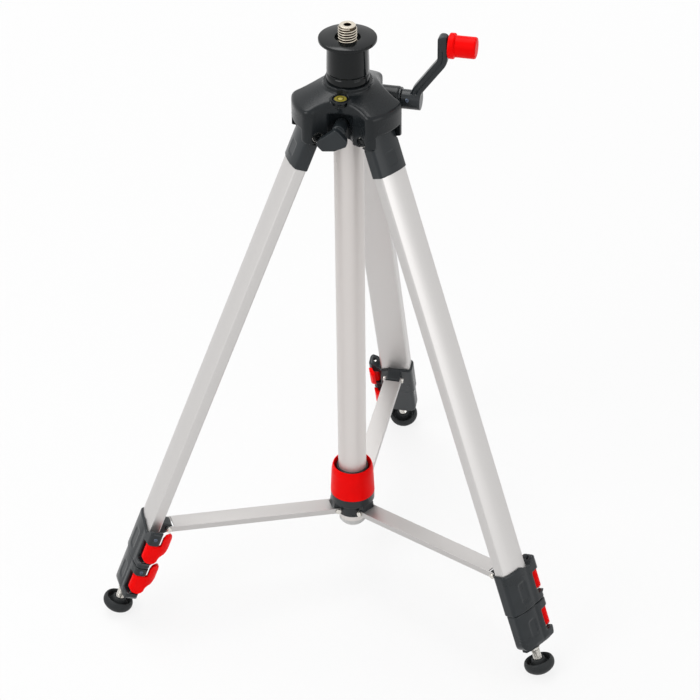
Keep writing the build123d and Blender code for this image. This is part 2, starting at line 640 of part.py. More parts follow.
with BuildPart() as foot_cup:
    with BuildSketch(Plane.XZ):
        with BuildLine():
            CenterArc((LEG_CENTRE, -FOOT_ALONG + SOLE_RISE), SOLE_RADIUS, 270, SOLE_TURN)
            CenterArc((FOOT_RING, -FOOT_ALONG), FOOT_CORNER, 270 + SOLE_TURN, 90 + FOOT_LIP - SOLE_TURN)
            Polyline(
                LIP_POINT,
                (LIP_POINT[0] - 1.0, LIP_POINT[1] - 0.6),
                (LIP_POINT[0] - 2.3, -FOOT_ALONG + 0.6),
                (LEG_CENTRE + STEM_RADIUS + 2.3, -FOOT_ALONG + 0.6),
                (LEG_CENTRE + STEM_RADIUS + 1.8, -FOOT_ALONG + FOOT_BOSS - 0.6),
                (LEG_CENTRE + STEM_RADIUS + 1.2, -FOOT_ALONG + FOOT_BOSS),
                (LEG_CENTRE + STEM_RADIUS + 0.08, -FOOT_ALONG + FOOT_BOSS),
                (LEG_CENTRE + STEM_RADIUS + 0.08, -STEM_END - 0.6),
                (LEG_CENTRE, -STEM_END - 0.6),
                (LEG_CENTRE, -FOOT_ALONG + SOLE_RISE - SOLE_RADIUS),
            )
        make_face()
    revolve(axis=Axis((LEG_CENTRE, 0, 0), (0, 0, 1)))

with BuildPart() as spreader_arm:
    with BuildSketch(Plane.XZ):
        with Locations((ARM_LENGTH / 2, 0)):
            SlotCenterToCenter(ARM_LENGTH, ARM_HEIGHT)
    extrude(amount=ARM_WIDTH / 2, both=True)
    with BuildSketch(Plane.YZ.offset(-10)):
        with Locations((0, ARM_HEIGHT / 2 - ARM_WALL)):
            Rectangle(ARM_WIDTH - 2 * ARM_WALL, ARM_HEIGHT, align=(Align.CENTER, Align.MAX))
    extrude(amount=ARM_LENGTH + 20, mode=Mode.SUBTRACT)
    with BuildSketch(Plane.XY):
        with Locations((ARM_NOTCH, 0)):
            Rectangle(20, ARM_WIDTH - 2 * ARM_WALL, align=(Align.MAX, Align.CENTER))
        with Locations((ARM_LENGTH - ARM_NOTCH, 0)):
            Rectangle(20, ARM_WIDTH - 2 * ARM_WALL, align=(Align.MIN, Align.CENTER))
    extrude(amount=ARM_HEIGHT, both=True, mode=Mode.SUBTRACT)
    with BuildSketch(Plane.XZ):
        with Locations((0, 0), (ARM_LENGTH, 0)):
            Circle(SPREADER_PIN_RADIUS + 0.06)
    extrude(amount=ARM_WIDTH, both=True, mode=Mode.SUBTRACT)

# Head

with BuildPart() as shoulder:
    with BuildSketch(Plane.XY.offset(HEAD_BOTTOM)) as plan:
        Circle(LOBE_RADIUS)
        with PolarLocations(VALLEY_CENTRE, 3, start_angle=30):
            Circle(VALLEY_RADIUS, mode=Mode.SUBTRACT)
        fillet(plan.vertices(), LOBE_CORNER)
    extrude(amount=NECK_RING_TOP - HEAD_BOTTOM)
    with BuildSketch(Plane.XZ) as crown:
        with BuildLine():
            Polyline(
                (0, HEAD_BOTTOM - 20),
                (LOBE_RADIUS + 5, HEAD_BOTTOM - 20),
                (LOBE_RADIUS + 5, HINGE_Z + CROWN_EDGE),
                (NECK_RING_RADIUS, HINGE_Z + CROWN_TOP),
                (NECK_RING_RADIUS, NECK_RING_TOP),
                (0, NECK_RING_TOP),
                close=True,
            )
        make_face()
    revolve(axis=Axis.Z, mode=Mode.INTERSECT)
    lobe_rim = [
        edge
        for edge in shoulder.edges()
        if HINGE_Z + CROWN_EDGE - 1 < edge.center().Z < HINGE_Z + CROWN_TOP - 0.5
    ]
    fillet(lobe_rim, LOBE_ROUND)
    with BuildSketch(Plane.YZ.offset(GUIDE_BORE)):
        with Locations((CRANK_Y, CRANK_Z)):
            Circle(BOSS_RADIUS)
    extrude(amount=BOSS_REACH - GUIDE_BORE)
    with BuildSketch(Plane.XY.offset(HEAD_BOTTOM - 1)):
        with PolarLocations(POCKET_CENTRE, 2, start_angle=150, angular_range=120, endpoint=True):
            Circle(POCKET_RADIUS)
    extrude(amount=LOCK_Z + POCKET_RISE - HEAD_BOTTOM + 1, mode=Mode.SUBTRACT)
    with BuildSketch(Plane.XY.offset(VIAL_TOP - 0.6)):
        with Locations(VIAL_AT):
            Circle(VIAL_RADIUS + 1.75)
    extrude(amount=-12, taper=24)
    for angle in LEG_ANGLES.values():
        with BuildSketch(radial_plane(angle)):
            with Locations((HINGE_R, HINGE_Z)):
                Circle(FORK_RADIUS)
            with BuildLine():
                Polyline(
                    (HINGE_R - FORK_RADIUS, HINGE_Z),
                    (HINGE_R - FORK_RADIUS, HEAD_BOTTOM - 5),
                    (LOBE_RADIUS + 5, HEAD_BOTTOM - 5),
                    (LOBE_RADIUS + 5, LOBE_LIP),
                    (HINGE_R, LOBE_LIP),
                    close=True,
                )
            make_face()
        extrude(amount=CHEEK_GAP, both=True, mode=Mode.SUBTRACT)
        low = leg_point(BRACKET_TOP - 0.8, 0)
        high = leg_point(BRACKET_TOP - 0.8, 40)
        with BuildSketch(radial_plane(angle)):
            with BuildLine():
                Polyline(low, high, (high[0], HEAD_BOTTOM - 20), (low[0], HEAD_BOTTOM - 20), close=True)
            make_face()
        extrude(amount=30, both=True, mode=Mode.SUBTRACT)
        with BuildSketch(radial_plane(angle)):
            with Locations((HINGE_R, HINGE_Z)):
                Circle(HINGE_PIN_RADIUS + 0.03)
        extrude(amount=30, both=True, mode=Mode.SUBTRACT)
        for side in (1, -1):
            with BuildSketch(radial_plane(angle).offset(side * PIN_SHOULDER)):
                with Locations((HINGE_R, HINGE_Z)):
                    Circle(PIN_HEAD_RADIUS + 0.3)
            extrude(amount=side * 15, mode=Mode.SUBTRACT)
    with BuildSketch(Plane.XY.offset(HEAD_BOTTOM - 5)):
        Circle(GUIDE_RADIUS + 0.03)
    extrude(amount=GUIDE_TOP + 0.2 - HEAD_BOTTOM + 5, mode=Mode.SUBTRACT)
    with BuildSketch(Plane.XY.offset(GUIDE_TOP)):
        Circle(BUSH_RADIUS + 0.02)
    extrude(amount=NECK_RING_TOP - GUIDE_TOP + 5, mode=Mode.SUBTRACT)
    with BuildSketch(Plane.YZ.offset(-5.2)):
        with Locations((CRANK_Y, CRANK_Z)):
            Circle(CRANK_BUSH_RADIUS + 0.03)
    extrude(amount=BOSS_REACH + 10, mode=Mode.SUBTRACT)
    with BuildSketch(Plane.YZ.offset(-SHAFT_BACK - 0.5)):
        with Locations((CRANK_Y, CRANK_Z)):
            Circle(SHAFT_RADIUS + SHAFT_FIT)
    extrude(amount=SHAFT_BACK + 5, mode=Mode.SUBTRACT)
    with BuildSketch(Plane.XZ):
        with Locations((0, LOCK_Z)):
            Circle(LOCK_SHANK + 0.05)
    extrude(amount=POCKET_CENTRE, mode=Mode.SUBTRACT)
    with BuildSketch(Plane.XY.offset(VIAL_TOP - VIAL_DEPTH - 0.1)):
        with Locations(VIAL_AT):
            Circle(VIAL_RADIUS + 0.05)
    extrude(amount=20, mode=Mode.SUBTRACT)

with BuildPart() as leg_hinge_pins:
    for angle in LEG_ANGLES.values():
        with BuildSketch(radial_plane(angle)):
            with Locations((HINGE_R, HINGE_Z)):
                Circle(HINGE_PIN_RADIUS)
        extrude(amount=PIN_SHOULDER, both=True)
        for side in (1, -1):
            with BuildSketch(radial_plane(angle).offset(side * PIN_SHOULDER)):
                with Locations((HINGE_R, HINGE_Z)):
                    Circle(PIN_HEAD_RADIUS)
            extrude(amount=side * PIN_HEAD)

with BuildPart() as guide_tube:
    with BuildSketch(Plane.XY.offset(GUIDE_BOTTOM)):
        Circle(GUIDE_RADIUS)
        Circle(GUIDE_BORE, mode=Mode.SUBTRACT)
    extrude(amount=GUIDE_TOP - GUIDE_BOTTOM)
    with BuildSketch(Plane.XZ):
        with Locations((0, CRANK_Z)):
            Rectangle(RACK_WIDTH + 1.6, 2 * (PITCH_RADIUS + MODULE) + 1.4)
    extrude(amount=-20, mode=Mode.SUBTRACT)
    with BuildSketch(Plane.XZ):
        with Locations((0, LOCK_Z)):
            Circle(LOCK_SHANK + 0.5)
    extrude(amount=20, mode=Mode.SUBTRACT)

CAP_RADIUS = GUIDE_RADIUS - 0.3

with BuildPart() as guide_tube_cap:
    with BuildSketch(Plane.XZ):
        with BuildLine():
            TangentArc(
                (0, GUIDE_BOTTOM - CAP_HEIGHT - CAP_DOME),
                (CAP_RADIUS, GUIDE_BOTTOM - CAP_HEIGHT),
                tangent=(1, 0),
            )
            Polyline(
                (CAP_RADIUS, GUIDE_BOTTOM - CAP_HEIGHT),
                (CAP_RADIUS, GUIDE_BOTTOM - 0.02),
                (GUIDE_BORE - 0.02, GUIDE_BOTTOM - 0.02),
                (GUIDE_BORE - 0.02, GUIDE_BOTTOM + 12),
                (GUIDE_BORE - 2.5, GUIDE_BOTTOM + 12),
                (GUIDE_BORE - 2.5, GUIDE_BOTTOM - CAP_HEIGHT),
                (0, GUIDE_BOTTOM - CAP_HEIGHT),
                (0, GUIDE_BOTTOM - CAP_HEIGHT - CAP_DOME),
            )
        make_face()
    revolve(axis=Axis.Z)

with BuildPart() as column_bush:
    with BuildSketch(Plane.XY.offset(GUIDE_TOP + 0.4)):
        Circle(BUSH_RADIUS)
        Circle(COLUMN_RADIUS + 0.08, mode=Mode.SUBTRACT)
    extrude(amount=NECK_RING_TOP - GUIDE_TOP - 0.7)

with BuildPart() as column_tube:
    with BuildSketch(Plane.XY.offset(COLUMN_BOTTOM)):
        Circle(COLUMN_RADIUS)
        Circle(COLUMN_BORE, mode=Mode.SUBTRACT)
    extrude(amount=COLUMN_TOP - COLUMN_BOTTOM)
    with BuildSketch(Plane.XZ):
        with Locations((0, CRANK_Z - (RACK_BELOW + 1) * PITCH)):
            Rectangle(RACK_WIDTH + 0.1, (RACK_BELOW + RACK_ABOVE + 2) * PITCH, align=(Align.CENTER, Align.MIN))
    extrude(amount=-20, mode=Mode.SUBTRACT)

RACK_MIDDLE = CRANK_Z + (RACK_ABOVE - RACK_BELOW) / 2 * PITCH
RACK_COUNT = RACK_BELOW + RACK_ABOVE + 1
RACK_HALF = (PITCH / 2 - TOOTH_BACKLASH / 2) / 2
RACK_SLOPE = tan(radians(PRESSURE))
RACK_ROOT = 1.25 * MODULE

with BuildSketch() as rack_tooth:
    with BuildLine():
        Polyline(
            (-RACK_ROOT, RACK_HALF + RACK_ROOT * RACK_SLOPE),
            (MODULE, RACK_HALF - MODULE * RACK_SLOPE),
            (MODULE, -RACK_HALF + MODULE * RACK_SLOPE),
            (-RACK_ROOT, -RACK_HALF - RACK_ROOT * RACK_SLOPE),
            close=True,
        )
    make_face()

with BuildPart() as column_rack:
    with BuildSketch(Plane.YZ):
        with Locations((RACK_PITCH_Y - RACK_ROOT + 0.05, RACK_MIDDLE)):
            Rectangle(RACK_BACK, RACK_COUNT * PITCH, align=(Align.MAX, Align.CENTER))
        with Locations((RACK_PITCH_Y, RACK_MIDDLE)):
            with GridLocations(0, PITCH, 1, RACK_COUNT):
                add(rack_tooth.sketch)
    extrude(amount=RACK_WIDTH / 2, both=True)

with BuildPart() as platform:
    with BuildSketch(Plane.XZ):
        with BuildLine():
            Polyline(
                (COLUMN_RADIUS + 0.03, PLATFORM_BOTTOM),
                (NECK_RADIUS, PLATFORM_BOTTOM),
                (NECK_RADIUS, PLATFORM_BOTTOM + 5.6),
                (NECK_RADIUS - 0.7, PLATFORM_BOTTOM + 6.2),
                (NECK_RADIUS - 0.7, PLATFORM_BOTTOM + 7.6),
                (NECK_RADIUS - 0.1, PLATFORM_BOTTOM + 8.2),
                (NECK_RADIUS - 0.6, PLATFORM_TOP - 5.6),
                (NECK_RADIUS + 0.8, PLATFORM_TOP - 3.6),
                (PLATFORM_RADIUS - 0.6, PLATFORM_TOP - 3.2),
                (PLATFORM_RADIUS, PLATFORM_TOP - 2.6),
                (PLATFORM_RADIUS, PLATFORM_TOP - 0.6),
                (PLATFORM_RADIUS - 0.6, PLATFORM_TOP),
                (COLUMN_RADIUS - 0.05, PLATFORM_TOP),
                (COLUMN_RADIUS - 0.05, PLATFORM_TOP - STUD_WELL),
                (STUD_ROOT + 0.03, PLATFORM_TOP - STUD_WELL),
                (STUD_ROOT + 0.03, COLUMN_TOP + 0.2),
                (COLUMN_RADIUS + 0.03, COLUMN_TOP + 0.2),
                close=True,
            )
        make_face()
    revolve(axis=Axis.Z)

with BuildPart() as stud:
    with BuildSketch(Plane.XZ):
        with BuildLine():
            Polyline(
                (0, COLUMN_TOP - 18),
                (COLUMN_BORE - 0.03, COLUMN_TOP - 18),
                (COLUMN_BORE - 0.03, COLUMN_TOP - 0.2),
                (STUD_ROOT, COLUMN_TOP - 0.2),
                (STUD_ROOT, PLATFORM_TOP - STUD_WELL),
                (STUD_RADIUS, PLATFORM_TOP - STUD_WELL),
                (STUD_RADIUS, STUD_TOP - 1),
                (STUD_RADIUS - 1, STUD_TOP),
                (3.0, STUD_TOP),
                (3.0, STUD_TOP - 7),
                (0, STUD_TOP - 8.5),
                close=True,
            )
        make_face()
    revolve(axis=Axis.Z)

with BuildPart() as bubble_level:
    with BuildSketch(Plane.XY.offset(VIAL_TOP - VIAL_DEPTH)):
        with Locations(VIAL_AT):
            Circle(VIAL_RADIUS)
    extrude(amount=VIAL_DEPTH)
    fillet(bubble_level.edges().group_by(Axis.Z)[-1], 0.8)

with BuildPart() as crank_bush:
    with BuildSketch(Plane.YZ.offset(GUIDE_BORE - 0.1)):
        with Locations((CRANK_Y, CRANK_Z)):
            Circle(CRANK_BUSH_RADIUS)
    extrude(amount=BOSS_REACH - GUIDE_BORE + 0.5)
    with BuildSketch(Plane.YZ.offset(BOSS_REACH + 0.1)):
        with Locations((CRANK_Y, CRANK_Z)):
            Circle(CRANK_BUSH_RADIUS + 1.43)
    extrude(amount=BUSH_FLANGE)
    with BuildSketch(Plane.YZ.offset(4)):
        with Locations((CRANK_Y, CRANK_Z)):
            Circle(SHAFT_RADIUS + SHAFT_FIT)
    extrude(amount=BOSS_REACH, mode=Mode.SUBTRACT)

with BuildSketch() as pinion_tooth:
    with BuildLine():
        ThreePointArc(
            tooth_point(BASE_RADIUS, 1),
            tooth_point(PITCH_RADIUS + 0.2, 1),
            tooth_point(PITCH_RADIUS + MODULE, 1),
        )
        Line(tooth_point(PITCH_RADIUS + MODULE, 1), tooth_point(PITCH_RADIUS + MODULE, -1))
        ThreePointArc(
            tooth_point(PITCH_RADIUS + MODULE, -1),
            tooth_point(PITCH_RADIUS + 0.2, -1),
            tooth_point(BASE_RADIUS, -1),
        )
        Polyline(tooth_point(BASE_RADIUS, -1), (4, 0), tooth_point(BASE_RADIUS, 1))
    make_face()

SHAFT_END = HUB_FACE - 2.7

with BuildPart() as crank_shaft:
    with BuildSketch(Plane.YZ.offset(-SHAFT_BACK)):
        with Locations((CRANK_Y, CRANK_Z)):
            Circle(SHAFT_RADIUS)
    extrude(amount=SHAFT_BACK + SHAFT_END)
    with BuildSketch(Plane.YZ.offset(-3.6)):
        with Locations((CRANK_Y, CRANK_Z)):
            Circle(MODULE * (PINION_TEETH / 2 - 1.25))
            with PolarLocations(0, PINION_TEETH, start_angle=180 + 180 / PINION_TEETH):
                add(pinion_tooth.sketch)
    extrude(amount=7.2)

# The crank arm follows an S from the middle of its hub up to the grip.
ARM_LOW_X = HUB_FACE - ARM_BREADTH / 2
ARM_HIGH_X = ARM_FACE - ARM_BREADTH / 2
ARM_LOW_BEND = (ARM_LOW_X, CRANK_Z + 8.5)
ARM_HIGH_BEND = (ARM_HIGH_X, GRIP_Z - 14.5)

with BuildSketch() as s_bend:
    with BuildLine():
        FilletPolyline(
            (ARM_LOW_X, CRANK_Z - 2),
            ARM_LOW_BEND,
            ARM_HIGH_BEND,
            (ARM_HIGH_X, GRIP_Z + ARM_CROWN),
            radius=ARM_CURVE,
        )
    trace(line_width=ARM_BREADTH)
    fillet(s_bend.vertices().group_by(Axis.Y)[-1], ARM_BREADTH / 2 - 0.4)

with BuildSketch() as s_groove:
    with BuildLine():
        FilletPolyline(
            (ARM_LOW_X - 0.6, CRANK_Z + 1),
            (ARM_LOW_BEND[0] - 0.6, ARM_LOW_BEND[1]),
            (ARM_HIGH_BEND[0] - 0.6, ARM_HIGH_BEND[1]),
            (ARM_HIGH_X - 0.6, GRIP_Z - 4),
            radius=ARM_CURVE,
        )
    trace(line_width=1.8)

with BuildPart() as crank_arm:
    with BuildSketch(Plane.XZ.offset(-CRANK_Y)):
        add(s_bend.sketch)
    extrude(amount=ARM_FRONT, both=True)
    arm_sides = crank_arm.edges().group_by(Axis.Y)
    fillet(arm_sides[0] + arm_sides[-1], 1.4)
    with BuildSketch(Plane.XZ.offset(-CRANK_Y + ARM_FRONT - 0.8)):
        add(s_groove.sketch)
    extrude(amount=5, mode=Mode.SUBTRACT)
    with BuildSketch(Plane.YZ.offset(ARM_START)):
        with Locations((CRANK_Y, CRANK_Z)):
            Circle(CRANK_HUB_RADIUS)
    extrude(amount=CRANK_HUB_LENGTH)
    with BuildSketch(Plane.YZ.offset(ARM_START - 2)):
        with Locations((CRANK_Y, CRANK_Z)):
            Circle(SHAFT_RADIUS + 0.02)
    extrude(amount=SHAFT_END - ARM_START + 2.05, mode=Mode.SUBTRACT)
    with BuildSketch(Plane.YZ.offset(ARM_FACE - ARM_BREADTH - 2)):
        with Locations((CRANK_Y, GRIP_Z)):
            Circle(GRIP_PIN_RADIUS + 0.02)
    extrude(amount=ARM_BREADTH + 5, mode=Mode.SUBTRACT)

GRIP_HEAD = GRIP_START + GRIP_LENGTH - 4.0
GRIP_HEAD_RADIUS = GRIP_PIN_RADIUS + 1.9

with BuildPart() as grip_screw:
    with BuildSketch(Plane.XZ.offset(-CRANK_Y)):
        with BuildLine():
            Polyline(
                (ARM_FACE - ARM_BREADTH + 0.4, GRIP_Z),
                (ARM_FACE - ARM_BREADTH + 0.4, GRIP_Z + GRIP_PIN_RADIUS),
                (GRIP_HEAD, GRIP_Z + GRIP_PIN_RADIUS),
                (GRIP_HEAD, GRIP_Z + GRIP_HEAD_RADIUS),
                (GRIP_HEAD + 2.0, GRIP_Z + GRIP_HEAD_RADIUS),
                (GRIP_HEAD + 2.0, GRIP_Z),
                close=True,
            )
        make_face()
    revolve(axis=Axis((0, CRANK_Y, GRIP_Z), (1, 0, 0)))

with BuildPart() as crank_grip:
    with BuildSketch(Plane.XZ.offset(-CRANK_Y)) as grip_half:
        with BuildLine():
            Polyline(
                (GRIP_START, GRIP_Z + GRIP_PIN_RADIUS + 0.08),
                (GRIP_START, GRIP_Z + GRIP_FLANGE),
                (GRIP_START + 5.0, GRIP_Z + GRIP_FLANGE),
                (GRIP_START + 5.8, GRIP_Z + GRIP_RADIUS),
                (GRIP_START + GRIP_LENGTH - 1.5, GRIP_Z + GRIP_RADIUS),
                (GRIP_START + GRIP_LENGTH - 0.4, GRIP_Z + GRIP_RADIUS - 0.5),
                (GRIP_START + GRIP_LENGTH, GRIP_Z + GRIP_RADIUS - 1.6),
                (GRIP_START + GRIP_LENGTH, GRIP_Z),
                (GRIP_HEAD + 2.4, GRIP_Z),
                (GRIP_HEAD + 2.4, GRIP_Z + GRIP_HEAD_RADIUS + 0.5),
                (GRIP_HEAD - 0.3, GRIP_Z + GRIP_HEAD_RADIUS + 0.5),
                (GRIP_HEAD - 0.3, GRIP_Z + GRIP_PIN_RADIUS + 0.08),
                close=True,
            )
        make_face()
        fillet(grip_half.vertices().group_by(Axis.Y)[-1], 1.4)
    revolve(axis=Axis((0, CRANK_Y, GRIP_Z), (1, 0, 0)))

with BuildPart() as lock_knob:
    with BuildSketch(Plane.XZ.offset(GUIDE_BORE - 0.1)):
        with Locations((0, LOCK_Z)):
            Circle(LOCK_SHANK)
    extrude(amount=LOCK_BACK - GUIDE_BORE + 0.2)
    with BuildSketch(Plane.XZ.offset(LOCK_BACK)):
        with Locations((0, LOCK_Z)):
            Circle(LOCK_HUB)
    extrude(amount=LOCK_HUB_LENGTH)
    with BuildSketch(Plane.XZ.offset(LOCK_BACK + LOCK_HUB_LENGTH - 0.2)) as wing:
        with BuildLine():
            Polyline(
                (-1.6, LOCK_Z + 4.4),
                (-15.4, LOCK_Z - 6.6),
                (-18.2, LOCK_Z - 11.2),
                (-12.6, LOCK_Z - 17.0),
                (-2.4, LOCK_Z - 15.8),
                (7.9, LOCK_Z - 10.4),
                (8.0, LOCK_Z - 5.0),
                (2.4, LOCK_Z + 1.6),
                close=True,
            )
        make_face()
        fillet(wing.vertices(), 1.6)
    extrude(amount=PADDLE)
    fillet(lock_knob.edges().group_by(Axis.Y)[0], 1.0)

# Spreader hub

with BuildPart() as spreader_hub:
    with BuildSketch(Plane.XZ):
        with BuildLine():
            Polyline(
                (HUB_BORE, HUB_PIN_Z - 6),
                (SLEEVE_NECK, HUB_PIN_Z - 6),
                (SLEEVE_NECK, FLANGE_BOTTOM),
                (HUB_RADIUS - 0.8, FLANGE_BOTTOM),
                (HUB_RADIUS, FLANGE_BOTTOM + 0.8),
                (HUB_RADIUS, FLANGE_TOP),
                (SLEEVE_RADIUS, FLANGE_TOP),
                (SLEEVE_RADIUS, COLLAR_TOP - COLLAR_FUNNEL - 1),
                (SLEEVE_NECK, COLLAR_TOP - COLLAR_FUNNEL),
                (SLEEVE_NECK, SLEEVE_TOP - 0.6),
                (SLEEVE_NECK - 0.6, SLEEVE_TOP),
                (HUB_BORE, SLEEVE_TOP),
                close=True,
            )
        make_face()
    revolve(axis=Axis.Z)
    for angle in LEG_ANGLES.values():
        with BuildSketch(radial_plane(angle)):
            with Locations((HUB_PIN_OUT, HUB_PIN_Z)):
                Circle(KNUCKLE_EAR)
            with BuildLine():
                Polyline(
                    (HUB_BORE + 0.7, HUB_PIN_Z - KNUCKLE_EAR),
                    (HUB_PIN_OUT, HUB_PIN_Z - KNUCKLE_EAR),
                    (HUB_PIN_OUT + 3.8, HUB_PIN_Z + 1.4),
                    (HUB_PIN_OUT + 3.0, FLANGE_BOTTOM + 0.5),
                    (HUB_BORE + 0.7, FLANGE_BOTTOM + 0.5),
                    close=True,
                )
            make_face()
        extrude(amount=LUG_HALF, both=True)
        with BuildSketch(radial_plane(angle)):
            with Locations((HUB_PIN_OUT, HUB_PIN_Z)):
                Circle(SPREADER_PIN_RADIUS + 0.02)
        extrude(amount=LUG_HALF + 4, both=True, mode=Mode.SUBTRACT)
    with BuildSketch(Plane.XY.offset(HUB_PIN_Z - 10)):
        Circle(HUB_BORE)
    extrude(amount=30, mode=Mode.SUBTRACT)

with BuildPart() as hub_pins:
    for angle in LEG_ANGLES.values():
        for start, end in ((-ARM_WIDTH / 2 - 0.3, -4.5), (4.5, ARM_WIDTH / 2 + 0.3)):
            with BuildSketch(radial_plane(angle).offset(start)):
                with Locations((HUB_PIN_OUT, HUB_PIN_Z)):
                    Circle(SPREADER_PIN_RADIUS)
            extrude(amount=end - start)
        for side in (1, -1):
            with BuildSketch(radial_plane(angle).offset(side * (ARM_WIDTH / 2 + 0.3))):
                with Locations((HUB_PIN_OUT, HUB_PIN_Z)):
                    Circle(SPREADER_PIN_RADIUS + 0.6)
            extrude(amount=side * 1.0)

with BuildPart() as lock_collar:
    with BuildSketch(Plane.XZ) as collar_half:
        with BuildLine():
            Polyline(
                (SLEEVE_RADIUS + 0.4, FLANGE_TOP + 0.3),
                (SLEEVE_RADIUS + 4.9, FLANGE_TOP + 0.3),
                (SLEEVE_RADIUS + 3.8, COLLAR_TOP - 6),
                (SLEEVE_RADIUS + 3.2, COLLAR_TOP - 2.4),
                (SLEEVE_RADIUS + 2.4, COLLAR_TOP),
                (SLEEVE_RADIUS + 1.6, COLLAR_TOP),
                (SLEEVE_RADIUS + 0.4, COLLAR_TOP - COLLAR_FUNNEL),
                close=True,
            )
        make_face()
    revolve(axis=Axis.Z)

# Hand out the pieces

os.makedirs("parts", exist_ok=True)


def hand_out(piece, name):
    """Name a finished piece and write it as a STEP file."""
    piece.label = name
    export_step(piece, f"parts/{name}.step")


for name, built in (
    ("shoulder", shoulder),
    ("leg_hinge_pins", leg_hinge_pins),
    ("guide_tube", guide_tube),
    ("guide_tube_cap", guide_tube_cap),
    ("column_bush", column_bush),
    ("crank_bush", crank_bush),
    ("bubble_level", bubble_level),
    ("column_tube", column_tube),
    ("column_rack", column_rack),
    ("platform", platform),
    ("stud", stud),
    ("crank_shaft", crank_shaft),
    ("crank_arm", crank_arm),
    ("grip_screw", grip_screw),
    ("crank_grip", crank_grip),
    ("lock_knob", lock_knob),
    ("spreader_hub", spreader_hub),
    ("hub_pins", hub_pins),
    ("lock_collar", lock_collar),
):
    hand_out(built.part, name)

LEG_PIECES = (
    ("leg_bracket", leg_bracket, 0.0, 0.0),
    ("upper_tube", upper_tube, 0.0, 0.0),
    ("upper_clamp", upper_clamp, 0.0, 0.0),
    ("leg_pins", leg_pins, 0.0, 0.0),
    ("upper_lever", clamp_lever, UPPER_LEVER_SIDE, UPPER_LEVER_TOP),
    ("middle_tube", middle_tube, 0.0, 0.0),
    ("lower_clamp", lower_clamp, 0.0, 0.0),
    ("lower_lever_pin", lower_lever_pin, 0.0, 0.0),
    ("lower_lever", clamp_lever, LOWER_LEVER_SIDE, LOWER_LEVER_TOP),
    ("lower_tube", lower_tube, 0.0, 0.0),
    ("foot_stem", foot_stem, 0.0, 0.0),
    ("foot_cup", foot_cup, 0.0, 0.0),
)

for side, angle in LEG_ANGLES.items():
    turn = Location((0, 0, 0), (0, 0, angle))
    for name, built, across, drop in LEG_PIECES:
        place = turn * LEG_PLANE.location * Location((0, across, -drop))
        hand_out(built.part.moved(place), f"{side}_{name}")
    hand_out(spreader_arm.part.moved(turn * ARM_PLANE.location), f"{side}_spreader_arm")
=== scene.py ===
"""Looks of a compact elevating tripod: finishes, mouldings, threads, fasteners, level and studio."""

import json
import logging
import math
from collections.abc import Callable, Sequence
from dataclasses import dataclass, field, replace
from enum import Enum
from functools import partial

import bmesh
import bpy
import numpy as np
from mathutils import Matrix, Vector


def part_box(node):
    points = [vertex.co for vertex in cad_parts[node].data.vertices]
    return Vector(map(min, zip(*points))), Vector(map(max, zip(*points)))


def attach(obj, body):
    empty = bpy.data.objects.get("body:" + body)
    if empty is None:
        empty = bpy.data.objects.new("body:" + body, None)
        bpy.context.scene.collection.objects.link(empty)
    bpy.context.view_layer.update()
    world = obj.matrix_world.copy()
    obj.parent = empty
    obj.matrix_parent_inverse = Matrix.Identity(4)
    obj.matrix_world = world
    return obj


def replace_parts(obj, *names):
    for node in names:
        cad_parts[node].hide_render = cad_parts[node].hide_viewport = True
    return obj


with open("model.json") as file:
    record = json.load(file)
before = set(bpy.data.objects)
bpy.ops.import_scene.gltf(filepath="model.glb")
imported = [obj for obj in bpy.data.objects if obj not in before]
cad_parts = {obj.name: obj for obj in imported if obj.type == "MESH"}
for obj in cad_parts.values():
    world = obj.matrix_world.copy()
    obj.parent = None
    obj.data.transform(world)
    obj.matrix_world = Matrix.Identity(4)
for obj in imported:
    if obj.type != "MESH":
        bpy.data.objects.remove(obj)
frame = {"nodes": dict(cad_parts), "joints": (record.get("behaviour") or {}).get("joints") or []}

LOG = logging.getLogger("tripod")
Colour = tuple[float, float, float]
Point = tuple[float, float, float]
Ring = tuple[float | Callable[[float], float], float]
Profile = tuple[tuple[float, float], ...]
PointRule = Callable[[np.ndarray], np.ndarray]
Seat = tuple[Vector, Vector]

# Smallest length or share that counts
TINY = 1e-6

# Decimals that the frame is read to: a hundredth of a millimetre
DECIMALS = 5

# Colour sockets of a mix node, whose names are also those of its number sockets
MIX_FIRST = 6
MIX_SECOND = 7
MIX_RESULT = 2


class Side(Enum):
    """The three legs, by the direction in degrees that each one leans in."""

    REAR = 90.0
    LEFT = 210.0
    RIGHT = 330.0

    @property
    def label(self) -> str:
        """Word that the names of this leg's pieces start with."""
        return self.name.lower()


class Drive(Enum):
    """Recess in the head of a fastener."""

    CROSS = "cross"
    HEXAGON = "hexagon"
    PLAIN = "plain"


@dataclass(frozen=True)
class Extent:
    """Bottom and top of a node of the frame, and its reach towards +x, the radius of what is centred."""

    bottom: float
    top: float
    reach: float

    @classmethod
    def of(cls, node: str) -> "Extent":
        """Read a node's extent off the frame.

        Args:
            node: Name of the node.

        Returns:
            Its extent at rest.
        """
        low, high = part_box(node)
        return cls(*(round(value, DECIMALS) for value in (low.z, high.z, high.x)))


def pivot(joint: str) -> Point:
    """Read the place of a joint off the frame."""
    place = next(entry["pos_m"] for entry in frame["joints"] if entry["name"] == joint)
    return tuple(round(value, DECIMALS) for value in place)


